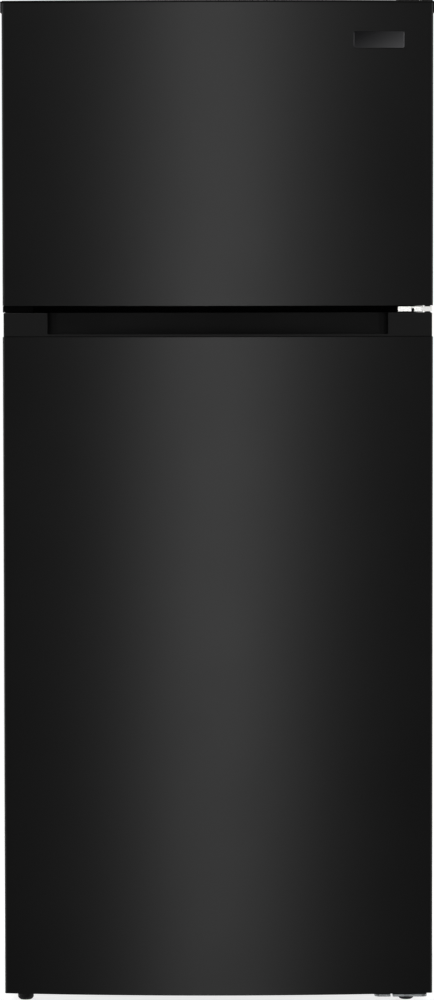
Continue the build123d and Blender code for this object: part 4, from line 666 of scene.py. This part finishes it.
def hinge_screw(tall):
    """Screw that stands on the origin: shank, washer flange and chamfered hexagon head."""
    shank_radius, shank_tall = 2.4 * MM, 4 * MM
    flange_share, flange_tall, flange_rim = 1.98, 0.7 * MM, 0.4 * MM
    head_radius, head_chamfer = 4.2 * MM, 0.5 * MM
    shank = cylinder("screw_pattern", 24, shank_radius, shank_tall, (0, 0, shank_tall / 2))
    open_piece(shank)
    choose("FACE", looking(Z, 1))
    draw_out()
    bpy.ops.transform.resize(value=(flange_share, flange_share, 1), center_override=(0, 0, 0))
    draw_out((0, 0, flange_tall))
    bpy.ops.mesh.inset(thickness=flange_rim)
    close_piece()
    seat = shank_tall + flange_tall
    head = cylinder("screw_head", 6, head_radius, tall - seat, (0, 0, (tall + seat) / 2))
    open_piece(head)
    choose("EDGE", lambda edge: middle(edge).z > tall - LEVEL)
    bpy.ops.mesh.bevel(offset=head_chamfer, segments=2)
    close_piece()
    screw = joined("screw_pattern", [shank, head])
    smooth(screw, 30)
    return screw


def dial_marks():
    """Raised marks on the housing round the knob, modelled once and copied."""
    number, step, wide, thick = 9, 30, 0.8 * MM, 0.3 * MM
    low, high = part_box("temperature_knob")
    centre = (low + high) / 2
    radius = (high.x - low.x) / 2
    face_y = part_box("control_housing")[0].y
    tall = sizes().mark_length
    mark = block("dial_mark", (0, face_y, radius + tall), (wide, thick, tall))
    ease(mark, edge=0.1 * MM, steps=1)
    place = Matrix.Translation((centre.x, 0, centre.z))
    angles = [step * (count - (number - 1) / 2) for count in range(number)]
    moves = [place @ Matrix.Rotation(math.radians(angle), 4, "Y") for angle in angles]
    fasten(joined_copies(mark, "dial_marks", moves), "black_moulding", "control_housing")


def cord_gland():
    """Round gland for the power lead: flange outside, neck through the rear cover, and a bore."""
    low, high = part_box("cord_gland")
    centre = (low + high) / 2
    radius = (high.x - low.x) / 2
    flange, bore = sizes().gland_flange, sizes().gland_bore
    outside = (centre.x, high.y - flange / 2, centre.z)
    gland = cylinder("cord_gland_moulded", 48, radius, flange, outside, (QUARTER_TURN, 0, 0))
    open_piece(gland)
    choose("FACE", looking(Y, -1))
    bpy.ops.mesh.inset(thickness=flange)
    draw_out((0, low.y + flange - high.y, 0))
    bpy.ops.mesh.inset(thickness=radius - flange - bore)
    choose("FACE", looking(Y, 1))
    bpy.ops.mesh.inset(thickness=radius - bore)
    choose("FACE", lambda face: abs(face.normal.y) > FACING and (middle(face) - centre).xz.length < bore / 2)
    bpy.ops.mesh.bridge_edge_loops()
    close_piece()
    ease(gland, sizes().cap_edge)
    settle(gland, "black_moulding", "cord_gland")


def compressor_mounts():
    """Turned rubber mounts with a waist, one modelled and four set under the compressor's foot."""
    # The waist's ends are shares of the height, and its width is a share of the radius
    radius, waist_ends, waist = 12 * MM, (0.35, 0.65), 0.78
    low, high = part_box("compressor_grommets")
    tall = high.z - low.z
    mount = cylinder("mount_pattern", 32, radius, tall, (0, 0, tall / 2))
    open_piece(mount)
    for level in waist_ends:
        bpy.ops.mesh.select_all(action="SELECT")
        bpy.ops.mesh.bisect(plane_co=(0, 0, tall * level), plane_no=(0, 0, 1))
    choose("FACE", lambda face: abs(face.normal.z) < ACROSS and abs(middle(face).z / tall - 0.5) < ACROSS)
    draw_out()
    bpy.ops.transform.resize(value=(waist, waist, 1), center_override=(0, 0, 0))
    close_piece()
    ease(mount, edge=1.2 * MM, steps=3)
    columns, rows = (low.x + radius, high.x - radius), (low.y + radius, high.y - radius)
    moves = [Matrix.Translation((x, y, low.z)) for x in columns for y in rows]
    settle(joined_copies(mount, "compressor_mounts", moves), "rubber", "compressor_grommets")


def foot(node):
    """Ribbed round grip with a rounded lower edge on a threaded stud."""
    grip, stud_radius, rib_edge, rib_depth = 16 * MM, 5 * MM, 0.3 * MM, 0.5 * MM
    low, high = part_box(node)
    centre = (low + high) / 2
    radius = (high.x - low.x) / 2
    piece = cylinder(f"{node}_moulded", 48, radius, grip, (centre.x, centre.y, grip / 2))
    open_piece(piece)
    choose("EDGE", lambda edge: middle(edge).z < LEVEL)
    bpy.ops.mesh.bevel(offset=sizes().foot_edge, segments=6)
    choose("FACE", looking(Z, 1))
    bpy.ops.mesh.inset(thickness=radius - stud_radius)
    draw_out((0, 0, high.z - grip))
    # Every second face round the grip is sunk
    mesh = bmesh.from_edit_mesh(piece.data)
    sides = [face for face in mesh.faces if abs(face.normal.z) < ACROSS and middle(face).z < grip]
    sides.sort(key=lambda face: math.atan2(middle(face).y - centre.y, middle(face).x - centre.x))
    hollows = {face.index for face in sides[::2]}
    choose("FACE", lambda face: face.index in hollows)
    bpy.ops.mesh.inset(thickness=rib_edge, depth=-rib_depth, use_individual=True)
    close_piece()
    smooth(piece, 30)
    settle(piece, "nylon", node)


def roller(node):
    """Tread with rounded edges, dished sides and a bore for the axle."""
    low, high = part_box(node)
    radius = (high.z - low.z) / 2
    # Inwards from the tread: the rim, the slope into the hollow, the web and the hub round the bore
    rim, slope, web, bore = radius * 0.2, 1 * MM, radius * 0.35, 4.2 * MM
    turn = (0, QUARTER_TURN, 0)
    piece = cylinder(f"{node}_moulded", 64, radius, high.x - low.x, (low + high) / 2, turn)
    open_piece(piece)
    choose("FACE", lambda face: abs(face.normal.x) > FACING)
    bpy.ops.mesh.inset(thickness=rim)
    bpy.ops.mesh.inset(thickness=slope, depth=-sizes().roller_recess)
    bpy.ops.mesh.inset(thickness=web)
    bpy.ops.mesh.inset(thickness=radius - rim - slope - web - bore)
    bpy.ops.mesh.bridge_edge_loops()
    close_piece()
    ease(piece, sizes().roller_edge, steps=3)
    settle(piece, "nylon", node)


# Stage


def lay_floor():
    """Round pale floor that takes the shadow and fades into the white room."""
    radius, fade_start, fade_end, glow = 3.2, 0.9, 2.6, 0.74
    put_down()
    bpy.ops.mesh.primitive_circle_add(vertices=128, radius=radius, fill_type="NGON")
    floor = started("studio_floor")
    material = bpy.data.materials.new("painted studio floor")
    material.use_nodes = True
    tree = material.node_tree
    tree.nodes.clear()
    place = add_node(tree, "TexCoord").outputs["Object"]
    reach = add_node(tree, "VectorMath", {0: place}, operation="LENGTH")
    run = {"Value": reach.outputs["Value"], "From Min": fade_start, "From Max": fade_end}
    fade = add_node(tree, "MapRange", run, interpolation_type="SMOOTHSTEP")
    path = add_node(tree, "LightPath")
    seen = add_node(tree, "Math", {0: path.outputs["Is Camera Ray"], 1: glow}, operation="MULTIPLY")
    paint = add_node(tree, "BsdfDiffuse", {"Color": shade(colours().floor, 1.0)})
    lit = add_node(tree, "AddShader", {0: paint, 1: add_node(tree, "Emission", {"Strength": seen})})
    mixed = add_node(tree, "MixShader", {0: fade, 1: lit, 2: add_node(tree, "BsdfTransparent")})
    add_node(tree, "OutputMaterial", {"Surface": mixed})
    floor.data.materials.append(material)
    # The doors' satin paint would mirror the floor, which the photograph doesn't show
    adjust(floor, visible_glossy=False, visible_shadow=False)


def hang_lamps():
    """One tall soft box behind the camera for the doors' highlight, one high in front, and dim ones around."""
    # Name, place, what it is aimed at, width, height and power in watts
    lamps = [
        ("front_soft_box", (0.0, -9.3, 0.9), (0.0, 0.0, 0.9), 1.4, 5.6, 74.0),
        ("high_soft_box", (0.0, -2.4, 4.0), (0.0, -0.3, 1.2), 3.0, 1.6, 75.0),
    ]
    for name, side in (("left", -1), ("right", 1)):
        lamps += [
            (f"{name}_front_soft_box", (side * 4.2, -3.6, 1.7), (0.0, 0.0, 0.8), 2.0, 2.0, 5.0),
            (f"{name}_side_soft_box", (side * 5.0, 0.4, 0.6), (0.0, 0.0, 0.8), 2.4, 3.4, 18.0),
            (f"{name}_rear_soft_box", (side * 3.4, 3.8, 1.0), (0.0, 0.0, 0.8), 2.2, 3.4, 46.0),
        ]
    for name, place, target, wide, tall, power in lamps:
        turn = (Vector(target) - Vector(place)).to_track_quat("-Z", "Y").to_euler()
        bpy.ops.object.light_add(type="AREA", location=place, rotation=turn)
        adjust(bpy.context.object, name=name, visible_camera=False)
        adjust(bpy.context.object.data, shape="RECTANGLE", size=wide, size_y=tall, energy=power)


def light_room(scene):
    """White room to the eye and through glass, but dark in front, where the doors' black paint mirrors it."""
    # Strengths on matt surfaces, and in mirrors that look at the room's front, other walls and ceiling
    matt, front, wall, ceiling = 0.45, 0.01, 0.34, 0.6
    scene.world = bpy.data.worlds.new("white studio")
    scene.world.use_nodes = True
    tree = scene.world.node_tree
    tree.nodes.clear()
    path = add_node(tree, "LightPath")
    axes = add_node(tree, "SeparateXYZ", {0: add_node(tree, "TexCoord").outputs["Generated"]})
    # How far a mirrored direction turns aside, back or down from the room's front
    aside = add_node(tree, "Math", {0: axes.outputs["X"]}, operation="ABSOLUTE")
    behind = add_node(tree, "Math", {0: aside, 1: axes.outputs["Y"]}, operation="MAXIMUM")
    down = add_node(tree, "Math", {0: axes.outputs["Z"], 1: -1.0, 2: -0.14}, operation="MULTIPLY_ADD")
    off_front = add_node(tree, "Math", {0: behind, 1: down}, operation="MAXIMUM")
    run = {"Value": off_front, "From Min": 0.38, "From Max": 0.72, "To Min": front, "To Max": wall}
    walls = add_node(tree, "MapRange", run, interpolation_type="SMOOTHSTEP")
    run = {"Value": axes.outputs["Z"], "From Min": 0.35, "From Max": 0.85, "To Min": walls, "To Max": ceiling}
    mirrored = add_node(tree, "MapRange", run, interpolation_type="SMOOTHSTEP")
    glossy = path.outputs["Is Glossy Ray"]
    indirect = add_node(tree, "MapRange", {"Value": glossy, "To Min": matt, "To Max": mirrored})
    rays = {0: path.outputs["Is Camera Ray"], 1: path.outputs["Is Transmission Ray"]}
    direct = add_node(tree, "Math", rays, operation="MAXIMUM")
    level = add_node(tree, "MapRange", {"Value": direct, "To Min": indirect, "To Max": 1.0})
    glow = add_node(tree, "Background", {"Color": (1.0, 1.0, 1.0, 1.0), "Strength": level})
    add_node(tree, "OutputWorld", {"Surface": glow})


def set_camera(scene):
    """Long lens from the front, above the middle of the doors and tipped slightly down."""
    place, tip_down, roll_right = (-0.00184, -8.5, 1.346), 3.17, 0.075
    tip = Matrix.Rotation(math.radians(90 - tip_down), 3, "X")
    roll = Matrix.Rotation(math.radians(-roll_right), 3, "Z")
    bpy.ops.object.camera_add(location=place, rotation=(tip @ roll).to_euler())
    scene.camera = bpy.context.object
    scene.camera.name = "front_camera"
    adjust(scene.camera.data, sensor_width=36.0, lens=168.23, clip_end=60.0)


class PieceOperator(bpy.types.Operator):
    """Model one piece or one group of like pieces"""

    bl_options = {"REGISTER", "UNDO"}


class DoorSkins(PieceOperator):
    """Fold the crowned steel skins of both doors"""

    bl_idname = "refrigerator.door_skins"
    bl_label = "Door skins"

    def execute(self, context):
        door_skin("freezer_door_skin", "freezer_door_front")
        door_skin("fridge_door_skin", "fridge_door_front")
        return {"FINISHED"}


class DoorCaps(PieceOperator):
    """Mould the doors' end caps, with the pocket handle in the fridge door's upper one"""

    bl_idname = "refrigerator.door_caps"
    bl_label = "Door end caps"

    def execute(self, context):
        for cap in ("freezer_door_top", "freezer_door_bottom", "fridge_door_handle", "fridge_door_bottom"):
            eased_copy(f"{cap}_cap", "moulded", "black_moulding", sizes().cap_edge)
        # An upper cap's spigot in the seam above its skin, and the handle's trough, are given the dark primer as
        # painted shade
        for door, cap in (("freezer_door", "top_cap"), ("fridge_door", "handle_cap")):
            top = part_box(f"{door}_skin")[1].z + SPARE
            piece = bpy.data.objects[f"{door}_{cap}_moulded"]
            paint_part(piece, "rail_primer_and_painted_shade", lambda face: middle(face).z < top)
        return {"FINISHED"}


class Plate(PieceOperator):
    """Polish the bare plate near the freezer door's upper corner and cut its rim"""

    bl_idname = "refrigerator.plate"
    bl_label = "Bare plate"

    def execute(self, context):
        low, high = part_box("name_plate")
        rim = sizes().plate_rim
        front = looking(Y, -1)
        plate = copied("name_plate", "bare_plate")
        open_piece(plate)
        choose("FACE", front)
        bpy.ops.mesh.inset(thickness=rim, depth=-rim / 4, use_boundary=True)
        close_piece()
        settle(plate, "plate_rim_painted_highlight", "name_plate")
        # The face gets the painted reflection, and the rim keeps its painted highlight
        paint_part(plate, "plate_gloss_and_painted_reflection", lambda face: front(face) and low.x + rim < middle(face).x < high.x - rim)
        smooth(plate, 25)
        return {"FINISHED"}


class DoorLiners(PieceOperator):
    """Form the door liners with their rounded dikes"""

    bl_idname = "refrigerator.door_liners"
    bl_label = "Door liners"

    def execute(self, context):
        for node in ("freezer_door_liner", "fridge_door_liner"):
            liner = copied(node, f"{node}_formed")
            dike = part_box(node)[1].y
            open_piece(liner)
            choose("EDGE", lambda edge: all(abs(vert.co.y - dike) < LEVEL for vert in edge.verts))
            bpy.ops.mesh.bevel(offset=sizes().dike_edge, segments=5, clamp_overlap=True)
            close_piece()
            smooth(liner)
            settle(liner, "liner", node)
        return {"FINISHED"}


class Gaskets(PieceOperator):
    """Extrude the magnetic seals: foot, two folds of bellows and magnet pocket, mitred at the corners"""

    bl_idname = "refrigerator.gaskets"
    bl_label = "Door gaskets"

    def execute(self, context):
        door_seal("freezer_door_gasket")
        door_seal("fridge_door_gasket")
        return {"FINISHED"}


class DoorBins(PieceOperator):
    """Mould the clear bins in the doors, with round front corners"""

    bl_idname = "refrigerator.door_bins"
    bl_label = "Door bins"

    def execute(self, context):
        for node in ("freezer_door_bins", "fridge_door_bins"):
            trays = [door_tray(low, high) for low, high in solids(node)]
            settle(joined(f"{node}_moulded", trays), "clear_moulding", node)
        return {"FINISHED"}


class Hinges(PieceOperator):
    """Press the three hinges, cover the upper one and plug the unused holes left of the middle one"""

    bl_idname = "refrigerator.hinges"
    bl_label = "Hinges"

    def execute(self, context):
        eased_copy("top_hinge", "pressed", "zinc", sizes().sheet_edge)
        leaf = eased_copy("middle_hinge", "pressed", "zinc", sizes().sheet_edge)
        # The lower one, down by the floor, is pressed from duller galvanised sheet
        eased_copy("bottom_hinge", "pressed", "galvanised", sizes().sheet_edge)
        eased_copy("top_hinge_cover", "moulded", "black_moulding", sizes().cap_edge)
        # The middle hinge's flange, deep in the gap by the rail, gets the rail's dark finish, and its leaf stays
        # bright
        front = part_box("mullion_rail")[0].y - sizes().flange
        paint_part(leaf, "rail_primer_and_painted_shade", lambda face: middle(face).y > front)
        hinge_plug()
        return {"FINISHED"}


class Screws(PieceOperator):
    """Model one flanged hexagon screw and set copies of it in the hinges"""

    bl_idname = "refrigerator.screws"
    bl_label = "Hinge screws"

    def execute(self, context):
        tall = 6.6 * MM
        moves = []
        for low, high in solids("hinge_screws"):
            span = high - low
            centre = (low + high) / 2
            axis = min((X, Y, Z), key=lambda axis: abs(span[axis] - tall))
            # Screws look forwards, or down under the lower hinge and up on the upper one
            out = Vector()
            out[axis] = -1 if axis == Y or centre.z < cad_box[1][Z] / 2 else 1
            seat = centre - out * span[axis] / 2
            moves.append(Matrix.Translation(seat) @ out.to_track_quat("Z", "Y").to_matrix().to_4x4())
        screws = joined_copies(hinge_screw(tall), "hinge_screws_set", moves)
        settle(screws, "zinc", "hinge_screws")
        low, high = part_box("mullion_rail")
        paint_part(screws, "rail_primer_and_painted_shade", lambda face: low.z < middle(face).z < high.z)
        return {"FINISHED"}


class Cabinet(PieceOperator):
    """Paint the outer panels, leave the back and base galvanised and close the foam's front edge"""

    bl_idname = "refrigerator.cabinet"
    bl_label = "Cabinet panels"

    def execute(self, context):
        for node in ("left_side_panel", "right_side_panel", "top_panel"):
            eased_copy(node, "folded", "cabinet_paint", edge=0.3 * MM)
        eased_copy("back_panel", "pressed", "galvanised", sizes().sheet_edge)
        dress("galvanised", "base_pan", "bay_roof")
        dress("rail_primer_and_painted_shade", "mullion_rail")
        dress("foam", "freezer_door_foam", "fridge_door_foam")
        # The painted case folds in over the foam's front edge, which shows in the crack round the liners
        foam = copied("cabinet_foam", "cabinet_foam_closed")
        settle(foam, "foam", "cabinet_foam")
        paint_part(foam, "cabinet_paint", looking(Y, -1))
        return {"FINISHED"}


class Liners(PieceOperator):
    """Form the white liners of both compartments"""

    bl_idname = "refrigerator.liners"
    bl_label = "Compartment liners"

    def execute(self, context):
        for node in ("fridge_liner", "freezer_liner"):
            eased_copy(node, "formed", "liner", sizes().liner_edge, steps=3)
        return {"FINISHED"}


class Shelves(PieceOperator):
    """Mould the shelf frames and lay the glass in them"""

    bl_idname = "refrigerator.shelves"
    bl_label = "Shelves"

    def execute(self, context):
        for node in ("freezer_shelf_frame", "fridge_shelf_frames", "crisper_cover_frame"):
            eased_copy(node, "moulded", "white_moulding", sizes().liner_edge)
        for node in ("freezer_shelf_glass", "fridge_shelf_glass", "crisper_cover_glass"):
            eased_copy(node, "polished", "glass", sizes().glass_edge)
        return {"FINISHED"}


class Drawers(PieceOperator):
    """Mould the two clear crisper drawers"""

    bl_idname = "refrigerator.drawers"
    bl_label = "Crisper drawers"

    def execute(self, context):
        for node in ("left_crisper", "right_crisper"):
            eased_copy(node, "moulded", "clear_moulding", sizes().clear_edge)
        return {"FINISHED"}


class Controls(PieceOperator):
    """Mould the control housing, its knob and lamp lens and the air duct, and mark the dial"""

    bl_idname = "refrigerator.controls"
    bl_label = "Controls"

    def execute(self, context):
        eased_copy("control_housing", "moulded", "white_moulding", sizes().liner_edge)
        eased_copy("temperature_knob", "moulded", "white_moulding", edge=0.6 * MM)
        eased_copy("lamp_lens", "moulded", "lens", edge=0.5 * MM)
        eased_copy("air_duct", "moulded", "white_moulding", edge=1 * MM)
        dial_marks()
        return {"FINISHED"}


class FreezerRear(PieceOperator):
    """Mould the grilled cover and finish the coil, heater, fan and motor behind it"""

    bl_idname = "refrigerator.freezer_rear"
    bl_label = "Freezer's rear"

    def execute(self, context):
        eased_copy("evaporator_cover", "moulded", "white_moulding", edge=0.8 * MM)
        eased_copy("evaporator_fan", "moulded", "black_moulding", edge=0.3 * MM)
        eased_copy("evaporator_fan_motor", "pressed", "galvanised", edge=0.4 * MM)
        dress("aluminium", "evaporator_coil", "defrost_heater")
        return {"FINISHED"}


class CompressorBay(PieceOperator):
    """Finish the compressor bay: compressor, rubber mounts, tubes, pan, rail, rear cover and gland"""

    bl_idname = "refrigerator.compressor_bay"
    bl_label = "Compressor bay"

    def execute(self, context):
        eased_copy("compressor", "enamelled", "enamel", edge=6 * MM, steps=3)
        eased_copy("drain_pan", "moulded", "black_moulding", edge=0.8 * MM)
        eased_copy("compressor_rail", "pressed", "galvanised", sizes().sheet_edge)
        eased_copy("bay_cover", "pressed", "galvanised", sizes().sheet_edge)
        eased_copy("refrigerant_lines", "drawn", "copper", edge=1.2 * MM, steps=3)
        dress("copper", "condenser_coil")
        cord_gland()
        compressor_mounts()
        return {"FINISHED"}


class FeetAndRollers(PieceOperator):
    """Model the screwed feet and the rear rollers, and plate the axles"""

    bl_idname = "refrigerator.feet_and_rollers"
    bl_label = "Feet and rollers"

    def execute(self, context):
        foot("left_foot")
        foot("right_foot")
        roller("left_roller")
        roller("right_roller")
        eased_copy("roller_axles", "turned", "zinc", edge=0.3 * MM)
        return {"FINISHED"}


class Stage(PieceOperator):
    """Lay the pale floor, hang soft lamps and set the camera"""

    bl_idname = "refrigerator.stage"
    bl_label = "Stage"

    def execute(self, context):
        lay_floor()
        hang_lamps()
        light_room(context.scene)
        set_camera(context.scene)
        context.scene.view_settings.view_transform = "Standard"
        return {"FINISHED"}


OPERATORS = (
    *(DoorSkins, DoorCaps, Plate, DoorLiners, Gaskets, DoorBins, Hinges, Screws, Cabinet, Liners, Shelves),
    *(Drawers, Controls, FreezerRear, CompressorBay, FeetAndRollers, Stage),
)


class RefrigeratorPanel(bpy.types.Panel):
    """Lists the pieces of the refrigerator"""

    bl_idname = "VIEW3D_PT_refrigerator"
    bl_label = "Refrigerator"
    bl_space_type = "VIEW_3D"
    bl_region_type = "UI"
    bl_category = "Refrigerator"

    def draw(self, context):
        for operator in OPERATORS:
            self.layout.operator(operator.bl_idname)
        for group in (context.scene.refrigerator_sizes, context.scene.refrigerator_colours):
            box = self.layout.box()
            for name in group.__annotations__:
                box.prop(group, name)


CLASSES = (RefrigeratorColours, RefrigeratorSizes, *OPERATORS, RefrigeratorPanel)


def register():
    """Add the classes and settings to Blender."""
    for cls in CLASSES:
        bpy.utils.register_class(cls)
    bpy.types.Scene.refrigerator_colours = PointerProperty(type=RefrigeratorColours)
    bpy.types.Scene.refrigerator_sizes = PointerProperty(type=RefrigeratorSizes)


def unregister():
    """Take the classes and settings out of Blender again."""
    del bpy.types.Scene.refrigerator_sizes
    del bpy.types.Scene.refrigerator_colours
    for cls in reversed(CLASSES):
        bpy.utils.unregister_class(cls)


def main():
    """Model every piece in order."""
    register()
    for operator in OPERATORS:
        group, name = operator.bl_idname.split(".")
        getattr(getattr(bpy.ops, group), name)()
    put_down()


if __name__ == "__main__":
    main()
